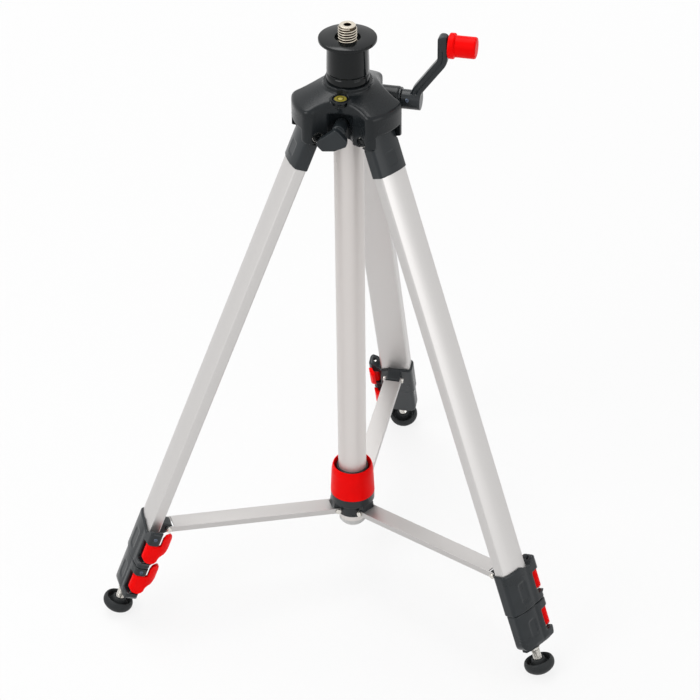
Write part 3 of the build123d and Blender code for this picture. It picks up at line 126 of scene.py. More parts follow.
@dataclass(frozen=True)
class LegFrame:
    """Where a leg stands: x outwards, y along its width and z up its axis, from the legs' common apex."""

    side: Side
    lean: float = math.radians(22.4)
    apex: float = 0.541395

    def matrix(self) -> Matrix:
        """Matrix from this leg's own axes to the part's frame."""
        stand = Matrix.Translation((0, 0, self.apex)) @ Matrix.Rotation(-self.lean, 4, "Y")
        return Matrix.Rotation(math.radians(self.side.value), 4, "Z") @ stand

    def turn(self) -> tuple[float, float, float]:
        """Euler angles of this leg's axes."""
        return tuple(self.matrix().to_euler())

    def axis(self) -> Point:
        """Direction up this leg."""
        return tuple(self.matrix().to_3x3().col[2])


class NodeMaker:
    """Adds nodes and links to a node tree."""

    tree: bpy.types.NodeTree

    def node(
        self, kind: str, values: dict[str | int, object] | None = None, **settings: object
    ) -> bpy.types.Node:
        """Add one node.

        Args:
            kind: Type name of the node.
            values: Values for its input sockets, by their names or numbers.
            settings: Values for its own properties.

        Returns:
            The new node.
        """
        made = self.tree.nodes.new(kind)
        for key, value in settings.items():
            setattr(made, key, value)
        for key, value in (values or {}).items():
            made.inputs[key].default_value = value
        return made

    def link(self, source: bpy.types.NodeSocket, target: bpy.types.NodeSocket) -> None:
        """Join an output socket to an input socket."""
        self.tree.links.new(source, target)


class Shading(NodeMaker):
    """A new material or world, to be filled with shader nodes."""

    def __init__(self, holder: bpy.types.Material | bpy.types.World) -> None:
        """Start with an empty tree.

        Args:
            holder: The material or the world.
        """
        holder.use_nodes = True
        self.holder = holder
        self.tree = holder.node_tree
        self.tree.nodes.clear()

    def seen(self, path: bpy.types.Node) -> bpy.types.NodeSocket:
        """Tell which rays come from the camera or from a gloss.

        Args:
            path: The node that tells the kinds of rays apart.

        Returns:
            1 for such a ray and 0 for another.
        """
        either = self.node("ShaderNodeMath", operation="MAXIMUM")
        self.link(path.outputs["Is Camera Ray"], either.inputs[0])
        self.link(path.outputs["Is Glossy Ray"], either.inputs[1])
        return either.outputs[0]


@dataclass(frozen=True)
class Finish:
    """A moulded surface: two close tones, uneven gloss and the fine grain of its mould."""

    name: str
    slot: str
    colour: Colour
    roughness: float
    metallic: float = 0.0
    specular: float = 0.5
    tone: float = 0.10
    gloss: float = 0.06
    grain: float = 2600.0
    cloud: float = 45.0
    relief: float = 0.00003
    rounding: float = 0.0005
    spread: tuple[float, float] = (0.3, 0.7)
    bump: float = 0.6
    edge_samples: int = 6

    def pattern(self, shading: Shading) -> tuple[bpy.types.NodeSocket, bpy.types.NodeSocket]:
        """Noise that the surface is drawn from.

        Args:
            shading: The material being made.

        Returns:
            The fine grain and the slow clouding, each from 0 to 1.
        """
        place = shading.node("ShaderNodeTexCoord").outputs["Object"]
        fine = shading.node("ShaderNodeTexNoise", {"Scale": self.grain, "Detail": 3.0, "Roughness": 0.6})
        slow = shading.node("ShaderNodeTexNoise", {"Scale": self.cloud, "Detail": 4.0, "Roughness": 0.55})
        shading.link(place, fine.inputs["Vector"])
        shading.link(place, slow.inputs["Vector"])
        return fine.outputs["Fac"], slow.outputs["Fac"]

    def tint(self, shading: Shading, colour: bpy.types.NodeSocket) -> bpy.types.NodeSocket:
        """Change the colour from place to place, which a plain surface doesn't."""
        return colour

    def dress_shader(self, shader: bpy.types.Node) -> None:
        """Set the values of the shader that are the same all over the surface."""
        shader.inputs["Metallic"].default_value = self.metallic
        shader.inputs["Specular IOR Level"].default_value = self.specular

    def make(self) -> bpy.types.Material:
        """Make the material, or give back the one made before.

        Returns:
            The finished node material.
        """
        known = bpy.data.materials.get(self.name)
        if known:
            return known
        shading = Shading(bpy.data.materials.new(self.name))
        fine, slow = self.pattern(shading)
        low, high = self.spread
        shares = (1 - self.tone, 1 + self.tone)
        ramp = shading.node("ShaderNodeValToRGB")
        for stop, position, share in zip(ramp.color_ramp.elements, self.spread, shares):
            stop.position = position
            stop.color = (*[min(part * share, 1.0) for part in self.colour], 1.0)
        sheen = shading.node(
            "ShaderNodeMapRange",
            {
                "From Min": low,
                "From Max": high,
                "To Min": self.roughness - self.gloss,
                "To Max": self.roughness + self.gloss,
            },
        )
        soft_edge = shading.node("ShaderNodeBevel", {"Radius": self.rounding}, samples=self.edge_samples)
        bump = shading.node("ShaderNodeBump", {"Strength": self.bump, "Distance": self.relief})
        shader = shading.node("ShaderNodeBsdfPrincipled")
        self.dress_shader(shader)
        out = shading.node("ShaderNodeOutputMaterial")
        shading.link(slow, ramp.inputs["Fac"])
        shading.link(slow, sheen.inputs["Value"])
        shading.link(fine, bump.inputs["Height"])
        shading.link(soft_edge.outputs["Normal"], bump.inputs["Normal"])
        shading.link(self.tint(shading, ramp.outputs["Color"]), shader.inputs["Base Color"])
        shading.link(sheen.outputs["Result"], shader.inputs["Roughness"])
        shading.link(bump.outputs["Normal"], shader.inputs["Normal"])
        shading.link(shader.outputs["BSDF"], out.inputs["Surface"])
        return shading.holder


@dataclass(frozen=True)
class DrawnMetal(Finish):
    """Extruded and anodised metal, with faint lines along the way it was drawn."""

    turn: tuple[float, float, float] = (0.0, 0.0, 0.0)
    across: float = 0.0011
    along: float = 0.35

    def pattern(self, shading: Shading) -> tuple[bpy.types.NodeSocket, bpy.types.NodeSocket]:
        """Noise stretched along the drawn direction.

        Args:
            shading: The material being made.

        Returns:
            The draw lines and the slow clouding, each from 0 to 1.
        """
        place = shading.node("ShaderNodeTexCoord").outputs["Object"]
        lay = shading.node(
            "ShaderNodeMapping",
            {"Rotation": self.turn, "Scale": (self.across, self.across, self.along)},
            vector_type="TEXTURE",
        )
        lines = shading.node("ShaderNodeTexNoise", {"Scale": 1.0, "Detail": 4.0, "Roughness": 0.65})
        slow = shading.node("ShaderNodeTexNoise", {"Scale": 0.06, "Detail": 3.0, "Roughness": 0.5})
        shading.link(place, lay.inputs["Vector"])
        shading.link(lay.outputs["Vector"], lines.inputs["Vector"])
        shading.link(lay.outputs["Vector"], slow.inputs["Vector"])
        return lines.outputs["Fac"], slow.outputs["Fac"]


@dataclass(frozen=True)
class ThreadedSteel(DrawnMetal):
    """Plated thread about the z axis, with painted shade in its roots and in its centre hole."""

    crest: float = 0.0079375
    root: float = 0.00705
    well: float = 0.0030
    # Colour of the painted shade in the thread's roots and in the centre hole
    shade: Colour = (0.16, 0.13, 0.10)
    # Where the painted shade in the hole and in the roots fades in and out, as shares of the crest's radius
    well_edge: tuple[float, float] = (0.01, 0.05)
    root_edge: tuple[float, float, float, float] = (-0.03, -0.01, 0.02, 0.08)

    def tint(self, shading: Shading, colour: bpy.types.NodeSocket) -> bpy.types.NodeSocket:
        """Paint shade onto the colour near the roots' radius and inside the hole.

        Args:
            shading: The material being made.
            colour: The plating's own colour.

        Returns:
            The colour with painted shade in its roots and in its hole.
        """
        place = shading.node("ShaderNodeTexCoord").outputs["Object"]
        flat = shading.node("ShaderNodeVectorMath", {1: (1.0, 1.0, 0.0)}, operation="MULTIPLY")
        reach = shading.node("ShaderNodeVectorMath", operation="LENGTH")
        share = shading.node("ShaderNodeMath", {1: self.crest}, operation="DIVIDE")
        # Ramp of painted shade: dark inside the hole and at the roots' radius, white between
        ramp = shading.node("ShaderNodeValToRGB")
        dark = (*self.shade, 1.0)
        bright = (1.0, 1.0, 1.0, 1.0)
        hole = self.well / self.crest
        low = self.root / self.crest
        tones = (dark, bright, bright, dark, dark, bright)
        positions = [hole + shift for shift in self.well_edge] + [low + shift for shift in self.root_edge]
        stops = list(zip(positions, tones))
        while len(ramp.color_ramp.elements) < len(stops):
            ramp.color_ramp.elements.new(0.5)
        for element, (position, tone) in zip(ramp.color_ramp.elements, stops):
            element.position = position
            element.color = tone
        mix = shading.node("ShaderNodeMix", {0: 1.0}, data_type="RGBA", blend_type="MULTIPLY")
        shading.link(place, flat.inputs[0])
        shading.link(flat.outputs["Vector"], reach.inputs[0])
        shading.link(reach.outputs["Value"], share.inputs[0])
        shading.link(share.outputs[0], ramp.inputs["Fac"])
        shading.link(colour, mix.inputs[MIX_FIRST])
        shading.link(ramp.outputs["Color"], mix.inputs[MIX_SECOND])
        return mix.outputs[MIX_RESULT]


@dataclass(frozen=True)
class PluggedTube(DrawnMetal):
    """Drawn tube of one leg, closed at its lower end by a dark plug."""

    axis: Point = (0.0, 0.0, 1.0)
    plug: float = -0.5570
    shade: Colour = (0.018, 0.021, 0.024)

    def tint(self, shading: Shading, colour: bpy.types.NodeSocket) -> bpy.types.NodeSocket:
        """Darken the plugged end.

        Args:
            shading: The material being made.
            colour: The tube's own colour.

        Returns:
            The colour with its dark end.
        """
        place = shading.node("ShaderNodeTexCoord").outputs["Object"]
        fall = shading.node("ShaderNodeVectorMath", {1: (0.0, 0.0, LegFrame.apex)}, operation="SUBTRACT")
        along = shading.node("ShaderNodeVectorMath", {1: self.axis}, operation="DOT_PRODUCT")
        end = shading.node("ShaderNodeMath", {1: self.plug}, operation="LESS_THAN")
        mix = shading.node("ShaderNodeMix", {MIX_SECOND: (*self.shade, 1.0)}, data_type="RGBA")
        shading.link(place, fall.inputs[0])
        shading.link(fall.outputs["Vector"], along.inputs[0])
        shading.link(along.outputs["Value"], end.inputs[0])
        shading.link(end.outputs[0], mix.inputs[0])
        shading.link(colour, mix.inputs[MIX_FIRST])
        return mix.outputs[MIX_RESULT]


@dataclass(frozen=True)
class Pebbled(Finish):
    """Rubber with a pebbled skin."""

    def pattern(self, shading: Shading) -> tuple[bpy.types.NodeSocket, bpy.types.NodeSocket]:
        """Cells over noise.

        Args:
            shading: The material being made.

        Returns:
            The pebbles and the slow clouding, each from 0 to 1.
        """
        place = shading.node("ShaderNodeTexCoord").outputs["Object"]
        cells = shading.node("ShaderNodeTexVoronoi", {"Scale": self.grain}, feature="SMOOTH_F1")
        slow = shading.node("ShaderNodeTexNoise", {"Scale": self.cloud, "Detail": 5.0, "Roughness": 0.6})
        shading.link(place, cells.inputs["Vector"])
        shading.link(place, slow.inputs["Vector"])
        return cells.outputs["Distance"], slow.outputs["Fac"]


@dataclass(frozen=True)
class Liquid(Finish):
    """Tinted liquid under a clear lens, with a faint painted glow in its own colour."""

    coat: float = 1.0
    coat_roughness: float = 0.04
    # Strength of the painted glow: the liquid shines a little in its own colour, though no lamp is in it
    glow: float = 0.12

    def dress_shader(self, shader: bpy.types.Node) -> None:
        """Add the lens's gloss and a painted glow in the tint's colour to the plain values.

        Args:
            shader: The shader being dressed.
        """
        super().dress_shader(shader)
        shader.inputs["Coat Weight"].default_value = self.coat
        shader.inputs["Coat Roughness"].default_value = self.coat_roughness
        # Painted glow in the tint's own colour
        shader.inputs["Emission Color"].default_value = (*self.colour, 1.0)
        shader.inputs["Emission Strength"].default_value = self.glow


BLACK_MOULDING = Finish(
    "satin_black", "black_moulding", (0.0165, 0.0205, 0.0235), 0.30, specular=0.32, tone=0.12
)
HEAD_BLACK = Finish(
    "sheen_black", "black_moulding", (0.0105, 0.0130, 0.0148), 0.27, specular=0.24, tone=0.12
)
BLACK_GLOSS = Finish(
    "polished_black",
    "black_gloss",
    (0.0045, 0.0058, 0.0064),
    0.13,
    specular=0.22,
    relief=0.000003,
    gloss=0.03,
    cloud=80.0,
)
RED_MOULDING = Finish(
    "signal_red",
    "red_moulding",
    (0.95, 0.0012, 0.0012),
    0.38,
    specular=0.06,
    tone=0.04,
    relief=0.000012,
    cloud=60.0,
)
GREY_MOULDING = Finish("pale_grey", "grey_moulding", (0.60, 0.60, 0.59), 0.44, tone=0.05)
RUBBER = Pebbled(
    "pebbled_rubber",
    "rubber_black",
    (0.016, 0.018, 0.019),
    0.58,
    specular=0.30,
    grain=1800.0,
    relief=0.00005,
)
STEEL = DrawnMetal(
    "bright_steel",
    "steel_bright",
    (0.66, 0.64, 0.60),
    0.22,
    metallic=1.0,
    tone=0.06,
    along=0.01,
    rounding=0.0002,
)
STUD_STEEL = ThreadedSteel(
    "steel_stud",
    "steel_bright",
    (0.68, 0.62, 0.52),
    0.20,
    metallic=1.0,
    tone=0.06,
    along=0.01,
    rounding=0.0002,
)
BLUED_STEEL = DrawnMetal(
    "steel_blued",
    "steel_bright",
    (0.10, 0.12, 0.16),
    0.30,
    metallic=1.0,
    tone=0.08,
    along=0.01,
    rounding=0.0002,
)
COLUMN_ALUMINIUM = DrawnMetal(
    "column_aluminium",
    "aluminium_satin",
    (0.70, 0.665, 0.645),
    0.46,
    metallic=0.60,
    tone=0.03,
    relief=0.000008,
)
LEG_ALUMINIUM = replace(
    COLUMN_ALUMINIUM,
    name="leg_aluminium",
    colour=(0.60, 0.585, 0.575),
    roughness=0.42,
    metallic=0.85,
)
ARM_ALUMINIUM = replace(LEG_ALUMINIUM, name="arm_aluminium", colour=(0.53, 0.515, 0.505))
END_ALUMINIUM = PluggedTube(
    "end_aluminium",
    "aluminium_satin",
    LEG_ALUMINIUM.colour,
    LEG_ALUMINIUM.roughness,
    metallic=LEG_ALUMINIUM.metallic,
    tone=LEG_ALUMINIUM.tone,
    relief=LEG_ALUMINIUM.relief,
)
# Liquid and bubble both carry the painted glow of their finish
LEVEL_LIQUID = Liquid("level_tint", "level_yellow", (0.34, 0.28, 0.025), 0.18, tone=0.12, cloud=160.0)
LEVEL_BUBBLE = Liquid("level_bubble", "level_yellow", (0.60, 0.52, 0.12), 0.10, tone=0.06, cloud=300.0)


def ring_mesh(name: str, rings: Sequence[Ring], segments: int = 48) -> bpy.types.Mesh:
    """Stack rings about the z axis into one closed skin, with a pole where the first or last radius is 0.

    Args:
        name: Name of the mesh.
        rings: Radius, or radius for each angle, and height of each ring, along the skin.
        segments: Number of points on a ring.

    Returns:
        The closed mesh, with its faces outwards.
    """
    build = bmesh.new()
    rows = []
    for radius, height in rings:
        if radius == 0:
            rows.append([build.verts.new((0, 0, height))])
            continue
        row = []
        for step in range(segments):
            angle = 2 * math.pi * step / segments
            reach = radius(angle) if callable(radius) else radius
            row.append(build.verts.new((reach * math.cos(angle), reach * math.sin(angle), height)))
        rows.append(row)
    closed = len(rows[0]) > 1 and len(rows[-1]) > 1
    pairs = list(zip(rows, rows[1:]))
    if closed:
        pairs.append((rows[-1], rows[0]))
    for low, high in pairs:
        for step in range(segments):
            after = (step + 1) % segments
            corners = [low[step % len(low)], low[after % len(low)]]
            corners += [high[after % len(high)], high[step % len(high)]]
            build.faces.new(list(dict.fromkeys(corners)))
    bmesh.ops.recalc_face_normals(build, faces=build.faces)
    mesh = bpy.data.meshes.new(name)
    build.to_mesh(mesh)
    build.free()
    return mesh


def shade(mesh: bpy.types.Mesh, crease: float = 32.0) -> None:
    """Smooth a mesh's shading up to a crease angle in degrees."""
    mesh.shade_smooth()
    mesh.set_sharp_from_angle(angle=math.radians(crease))


def add_object(name: str, data: bpy.types.ID) -> bpy.types.Object:
    """Put a mesh, a light or a camera into the scene.

    Args:
        name: Name of the object.
        data: What the object shows.

    Returns:
        The new object.
    """
    made = bpy.data.objects.new(name, data)
    bpy.context.scene.collection.objects.link(made)
    return made


def plain_mesh(holder: bpy.types.Object) -> bpy.types.Mesh:
    """Turn an object with its modifiers into a plain mesh.

    Args:
        holder: The object, which is then removed.

    Returns:
        The mesh that its modifiers give.
    """
    bpy.context.view_layer.update()
    graph = bpy.context.evaluated_depsgraph_get()
    mesh = bpy.data.meshes.new_from_object(holder.evaluated_get(graph))
    bpy.data.objects.remove(holder)
    return mesh


def place_piece(mesh: bpy.types.Mesh, name: str, finish: Finish, body: str) -> bpy.types.Object:
    """Put a finished mesh into the scene as a piece.

    Args:
        mesh: The mesh, already where it belongs.
        name: Name of the piece.
        finish: Its finish.
        body: The body it moves with.

    Returns:
        The piece's object.
    """
    mesh.materials.clear()
    mesh.materials.append(finish.make())
    piece = add_object(name, mesh)
    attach(piece, body)
    LOG.info("made %s on %s", name, body)
    return piece


def dress_node(name: str, finish: Finish) -> None:
    """Give a node of the frame its finish.

    Args:
        name: Name of the node.
        finish: Its finish.
    """
    mesh = frame["nodes"][name].data
    mesh.materials.clear()
    mesh.materials.append(finish.make())
    LOG.info("dressed %s in %s", name, finish.name)


def evenly(points: np.ndarray) -> np.ndarray:
    """Soften every point alike."""
    return np.ones(len(points))


def unmoved(points: np.ndarray) -> np.ndarray:
    """Leave the points where they are."""
    return points


@dataclass(frozen=True)
class MouldedSkin:
    """Rounds the corners of a moulded node, evenly divided, without drawing its walls in."""

    voxel: float = 0.0008
    passes: int = 16
    pull: float = 0.50
    push: float = -0.52

    def divide(self, node: str) -> bpy.types.Mesh:
        """Copy a node's mesh and divide it evenly.

        Args:
            node: Name of the node.

        Returns:
            A closed mesh of small even faces.
        """
        build = bmesh.new()
        build.from_mesh(frame["nodes"][node].data)
        bmesh.ops.remove_doubles(build, verts=build.verts, dist=TINY)
        mesh = bpy.data.meshes.new(node + "_copy")
        build.to_mesh(mesh)
        build.free()
        holder = add_object(node + "_holder", mesh)
        modifier = holder.modifiers.new("divide", "REMESH")
        modifier.mode = "VOXEL"
        modifier.voxel_size = self.voxel
        return plain_mesh(holder)

    def soften(self, mesh: bpy.types.Mesh, give: PointRule, form: PointRule) -> None:
        """Draw each point towards its neighbours and back, which rounds corners and keeps the walls.

        Args:
            mesh: The evenly divided mesh.
            give: Share of the softening at each point, from 0 to 1.
            form: Where each point goes before it is softened.
        """
        count = len(mesh.vertices)
        flat = np.empty(count * 3, dtype=np.float32)
        mesh.vertices.foreach_get("co", flat)
        points = form(flat.reshape(-1, 3).astype(np.float64))
        ends = np.empty(len(mesh.edges) * 2, dtype=np.int32)
        mesh.edges.foreach_get("vertices", ends)
        first, second = ends.reshape(-1, 2).T
        near = np.bincount(first, minlength=count) + np.bincount(second, minlength=count)
        share = give(points)
        for step in range(2 * self.passes):
            total = np.empty_like(points)
            for axis in range(3):
                total[:, axis] = np.bincount(first, points[second, axis], count)
                total[:, axis] += np.bincount(second, points[first, axis], count)
            strength = self.push if step % 2 else self.pull
            points += (strength * share / near)[:, None] * (total - points * near[:, None])
        mesh.vertices.foreach_set("co", points.astype(np.float32).ravel())
        mesh.update()

    def place(
        self, node: str, finish: Finish, body: str, give: PointRule = evenly, form: PointRule = unmoved
    ) -> None:
        """Stand a softened copy in for a moulded node.

        Args:
            node: Name of the node.
            finish: Its finish.
            body: The body it moves with.
            give: Share of the softening at each point, from 0 to 1.
            form: Where each point goes before it is softened.
        """
        mesh = self.divide(node)
        self.soften(mesh, give, form)
        mesh.shade_smooth()
        mesh.name = node + "_moulding"
        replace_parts(place_piece(mesh, node + "_moulding", finish, body), node)


class ShapeTree(NodeMaker):
    """A tree of geometry nodes with named inputs, run once on a mesh."""

    def __init__(self, name: str, inputs: dict[str, str]) -> None:
        """Start the tree.

        Args:
            name: Name of the tree.
            inputs: Socket type of each named input.
        """
        self.tree = bpy.data.node_groups.new(name, "GeometryNodeTree")
        face = self.tree.interface
        face.new_socket("Geometry", in_out="INPUT", socket_type="NodeSocketGeometry")
        self.sockets = {
            label: face.new_socket(label, in_out="INPUT", socket_type=kind).identifier
            for label, kind in inputs.items()
        }
        face.new_socket("Geometry", in_out="OUTPUT", socket_type="NodeSocketGeometry")
        self.enter = self.node("NodeGroupInput")
        self.leave = self.node("NodeGroupOutput")

    def end(self, geometry: bpy.types.NodeSocket) -> None:
        """Realize a geometry, give it the Finish input and hand it out.

        Args:
            geometry: What the tree has made.
        """
        real = self.node("GeometryNodeRealizeInstances")
        paint = self.node("GeometryNodeSetMaterial")
        self.link(geometry, real.inputs["Geometry"])
        self.link(real.outputs["Geometry"], paint.inputs["Geometry"])
        self.link(self.enter.outputs["Finish"], paint.inputs["Material"])
        self.link(paint.outputs["Geometry"], self.leave.inputs["Geometry"])

    def run(self, mesh: bpy.types.Mesh, values: dict[str, object]) -> bpy.types.Mesh:
        """Run the tree on a mesh.

        Args:
            mesh: What goes into the tree.
            values: Value of each named input.

        Returns:
            The result as a plain mesh.
        """
        holder = add_object(mesh.name + "_holder", mesh)
        modifier = holder.modifiers.new("shape", "NODES")
        modifier.node_group = self.tree
        for label, value in values.items():
            modifier[self.sockets[label]] = value
        return plain_mesh(holder)


class ThreadTree(ShapeTree):
    """Winds a ridge round a core, upwards from Start."""

    def __init__(self) -> None:
        """Build the tree: a spiral with a pointed profile, joined to the core."""
        lengths = ("Radius", "Pitch", "Height", "Ridge", "Start")
        inputs = {**dict.fromkeys(lengths, "NodeSocketFloat"), "Finish": "NodeSocketMaterial"}
        super().__init__("screw_thread", inputs)
        turns = self.node("ShaderNodeMath", operation="DIVIDE")
        root = self.node("ShaderNodeMath", operation="SUBTRACT")
        lift = self.node("ShaderNodeCombineXYZ")
        spiral = self.node("GeometryNodeCurveSpiral", {"Resolution": 40, "Reverse": True})
        upright = self.node("GeometryNodeSetCurveNormal", mode="Z_UP")
        profile = self.node("GeometryNodeCurvePrimitiveCircle", {"Resolution": 4})
        ridge = self.node("GeometryNodeCurveToMesh", {"Fill Caps": True})
        move = self.node("GeometryNodeTransform")
        join = self.node("GeometryNodeJoinGeometry")
        self.link(self.enter.outputs["Height"], turns.inputs[0])
        self.link(self.enter.outputs["Pitch"], turns.inputs[1])
        self.link(self.enter.outputs["Radius"], root.inputs[0])
        self.link(self.enter.outputs["Ridge"], root.inputs[1])
        self.link(turns.outputs[0], spiral.inputs["Rotations"])
        self.link(root.outputs[0], spiral.inputs["Start Radius"])
        self.link(root.outputs[0], spiral.inputs["End Radius"])
        self.link(self.enter.outputs["Height"], spiral.inputs["Height"])
        self.link(spiral.outputs["Curve"], upright.inputs["Curve"])
        self.link(upright.outputs["Curve"], ridge.inputs["Curve"])
        self.link(self.enter.outputs["Ridge"], profile.inputs["Radius"])
        self.link(profile.outputs["Curve"], ridge.inputs["Profile Curve"])
        self.link(self.enter.outputs["Start"], lift.inputs["Z"])
        self.link(ridge.outputs["Mesh"], move.inputs["Geometry"])
        self.link(lift.outputs["Vector"], move.inputs["Translation"])
        self.link(move.outputs["Geometry"], join.inputs["Geometry"])
        self.link(self.enter.outputs["Geometry"], join.inputs["Geometry"])
        self.end(join.outputs["Geometry"])


class FastenerTree(ShapeTree):
    """Sets one fastener on each point, turned to the way the point faces."""

    def __init__(self) -> None:
        """Build the tree: the fastener as an instance on each point, turned by the facing attribute."""
        super().__init__("fastener_row", {"Fastener": "NodeSocketObject", "Finish": "NodeSocketMaterial"})
        facing = self.node("GeometryNodeInputNamedAttribute", {"Name": "facing"}, data_type="FLOAT_VECTOR")
        turn = self.node("FunctionNodeAlignRotationToVector", axis="Z")
        head = self.node("GeometryNodeObjectInfo")
        row = self.node("GeometryNodeInstanceOnPoints")
        self.link(facing.outputs["Attribute"], turn.inputs["Vector"])
        self.link(self.enter.outputs["Fastener"], head.inputs["Object"])
        self.link(self.enter.outputs["Geometry"], row.inputs["Points"])
        self.link(head.outputs["Geometry"], row.inputs["Instance"])
        self.link(turn.outputs["Rotation"], row.inputs["Rotation"])
        self.end(row.outputs["Instances"])


@dataclass(frozen=True)
class Thread:
    """A bright screw thread, which starts a little above the base of its core."""

    radius: float
    pitch: float
    ridge: float
    start: float
    height: float

    def mesh(
        self, name: str, core: Sequence[Ring], base: float, finish: Finish, tree: ThreadTree
    ) -> bpy.types.Mesh:
        """Wind the thread round its core.

        Args:
            name: Name of the mesh.
            core: Rings of the core, along its skin.
            base: Height of the core's base.
            finish: Finish of core and thread.
            tree: The tree that winds the ridge.

        Returns:
            Core and thread as one mesh on the z axis.
        """
        values = {
            "Radius": self.radius,
            "Pitch": self.pitch,
            "Height": self.height,
            "Ridge": self.ridge,
            "Start": base + self.start,
            "Finish": finish.make(),
        }
        return tree.run(ring_mesh(name, core), values)


@dataclass(frozen=True)
class Fastener:
    """The head of a small fastener, set in rows."""

    radius: float
    height: float
    drive: Drive
    recess: float = 0.0
    sink: float = 0.3
    dome: Profile = ((0.96, -0.3), (1.0, 0.35), (0.9, 0.75), (0.68, 0.95))
    crown: float = 0.35
    cross_arm: float = 0.3
    taper: float = 0.85
    recess_wall: float = 0.35
    recess_floor: float = 0.3
    segments: int = 24

    def reach(self, angle: float) -> float:
        """Radius of the drive recess at an angle round the head.

        Args:
            angle: Angle in radians.

        Returns:
            Radius in metres.
        """
        if self.drive is Drive.HEXAGON:
            turn = (angle + math.pi / 6) % (math.pi / 3) - math.pi / 6
            return self.recess / math.cos(turn)
        wide = self.recess * self.cross_arm
        across = max(abs(math.cos(angle)), TINY)
        along = max(abs(math.sin(angle)), TINY)
        level = min(self.recess / across, wide / along)
        upright = min(wide / across, self.recess / along)
        return max(level, upright)

    def head(self, name: str) -> bpy.types.Mesh:
        """Make the head, standing on the xy plane.

        Args:
            name: Name of the mesh.

        Returns:
            The closed mesh.
        """
        rings: list[Ring] = [(0, -self.height * self.sink)]
        rings += [(self.radius * wide, self.height * tall) for wide, tall in self.dome]
        if self.drive is not Drive.PLAIN:
            rings.append((self.reach, self.height))
            rings.append((lambda angle: self.reach(angle) * self.taper, self.height * self.recess_wall))
            rings.append((0, self.height * self.recess_floor))
        else:
            rings.append((self.radius * self.crown, self.height))
            rings.append((0, self.height))
        return ring_mesh(name, rings, self.segments)

    def place(self, name: str, seats: Sequence[Seat], finish: Finish, body: str, tree: FastenerTree) -> None:
        """Set the heads on their seats, as one piece.

        Args:
            name: Name of the piece.
            seats: Place and outward direction of each head.
            finish: Finish of the heads.
            body: The body they move with.
            tree: The tree that sets them.
        """
        points = bpy.data.meshes.new(name)
        points.from_pydata([tuple(place) for place, _ in seats], [], [])
        facing = points.attributes.new("facing", "FLOAT_VECTOR", "POINT")
        for item, (_, way) in zip(facing.data, seats):
            item.vector = tuple(way)
        source = bpy.data.objects.new(name + "_head", self.head(name + "_head"))
        mesh = tree.run(points, {"Fastener": source, "Finish": finish.make()})
        bpy.data.objects.remove(source)
        shade(mesh)
        place_piece(mesh, name, finish, body)


PIN_RIVET = Fastener(0.0024, 0.0007, Drive.PLAIN)


def pin_ends(stand: Matrix, out: float, half: float, height: float) -> list[Seat]:
    """Find the seats on both ends of a pin that lies along the y axis.

    Args:
        stand: Matrix from the pin's axes to the part's frame.
        out: How far out along x the pin lies.
        half: Half its length.
        height: How high along z it lies.

    Returns:
        Place and outward direction of each end.
    """
    ways = stand.to_3x3()
    return [
        (stand @ Vector((out, way * half, height)), ways @ Vector((0, way, 0))) for way in (1, -1)
    ]


@dataclass(frozen=True)
class Trees:
    """The two trees that the sub-assemblies share."""

    thread: ThreadTree = field(default_factory=ThreadTree)
    fastener: FastenerTree = field(default_factory=FastenerTree)


@dataclass
class RoundLevel:
    """Round level in the head: a dark cup, tinted liquid, a centring mark and a bubble."""

    place: tuple[float, float] = (-0.0005, -0.0256)
    radius: float = 0.00625
    vial: Extent = Extent.of("bubble_level")
    cup_base: Profile = ((-0.0003, 0.0), (0.0, 0.0004))
    cup_rim: Profile = (
        (0.0, -0.0006),
        (-0.0002, -0.0002),
        (-0.0005, 0.0),
        (-0.0008, -0.0002),
        (-0.0009, -0.0010),
    )
    liquid_gap: float = 0.0010
    liquid_bottom: float = -0.0010
    liquid_edge: float = -0.0006
    liquid_crown: Profile = ((0.6, -0.00045), (0.3, -0.0004), (0.0, -0.0004))
    mark_radius: float = 0.0026
    mark_width: float = 0.00035
    mark_heights: tuple[float, float] = (-0.0006, -0.00030)
    bubble_radius: float = 0.0021
    bubble_crown: Profile = (
        (0.0, -0.0008),
        (1.0, -0.0006),
        (0.92, -0.00034),
        (0.6, -0.00020),
        (0.0, -0.00014),
    )

    def cup(self) -> bpy.types.Mesh:
        """Turn the cup with its rounded rim.

        Returns:
            The cup, with its rim at height 0.
        """
        bottom = self.vial.bottom - self.vial.top
        rings: list[Ring] = [(0, bottom)]
        rings += [(self.radius + out, bottom + up) for out, up in self.cup_base]
        rings += [(self.radius + out, up) for out, up in self.cup_rim]
        rings.append((0, self.liquid_bottom))
        return ring_mesh("level_cup", rings)

    def liquid(self) -> bpy.types.Mesh:
        """Fill the cup with liquid under a slightly domed lens.

        Returns:
            Liquid and lens as one mesh.
        """
        edge = self.radius - self.liquid_gap
        rings: list[Ring] = [(0, self.liquid_bottom), (edge, self.liquid_bottom), (edge, self.liquid_edge)]
        rings += [(self.radius * share, up) for share, up in self.liquid_crown]
        return ring_mesh("level_liquid", rings)

    def mark(self) -> bpy.types.Mesh:
        """Make the ring that the bubble is centred in.

        Returns:
            The ring, on the lens.
        """
        low, high = self.mark_heights
        inner, outer = self.mark_radius, self.mark_radius + self.mark_width
        return ring_mesh("level_mark", [(inner, low), (outer, low), (outer, high), (inner, high)])

    def bubble(self) -> bpy.types.Mesh:
        """Make the domed bubble."""
        rings = [(self.bubble_radius * share, up) for share, up in self.bubble_crown]
        return ring_mesh("level_bubble", rings)

    def build(self) -> None:
        """Set the layers into each other, with the cup standing in for the level's node."""
        shift = Matrix.Translation((*self.place, self.vial.top))
        cup = self.cup()
        layers = (
            (cup, BLACK_GLOSS),
            (self.liquid(), LEVEL_LIQUID),
            (self.mark(), BLACK_GLOSS),
            (self.bubble(), LEVEL_BUBBLE),
        )
        for mesh, finish in layers:
            mesh.transform(shift)
            shade(mesh)
            piece = place_piece(mesh, mesh.name, finish, "head")
            if mesh is cup:
                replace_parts(piece, "bubble_level")


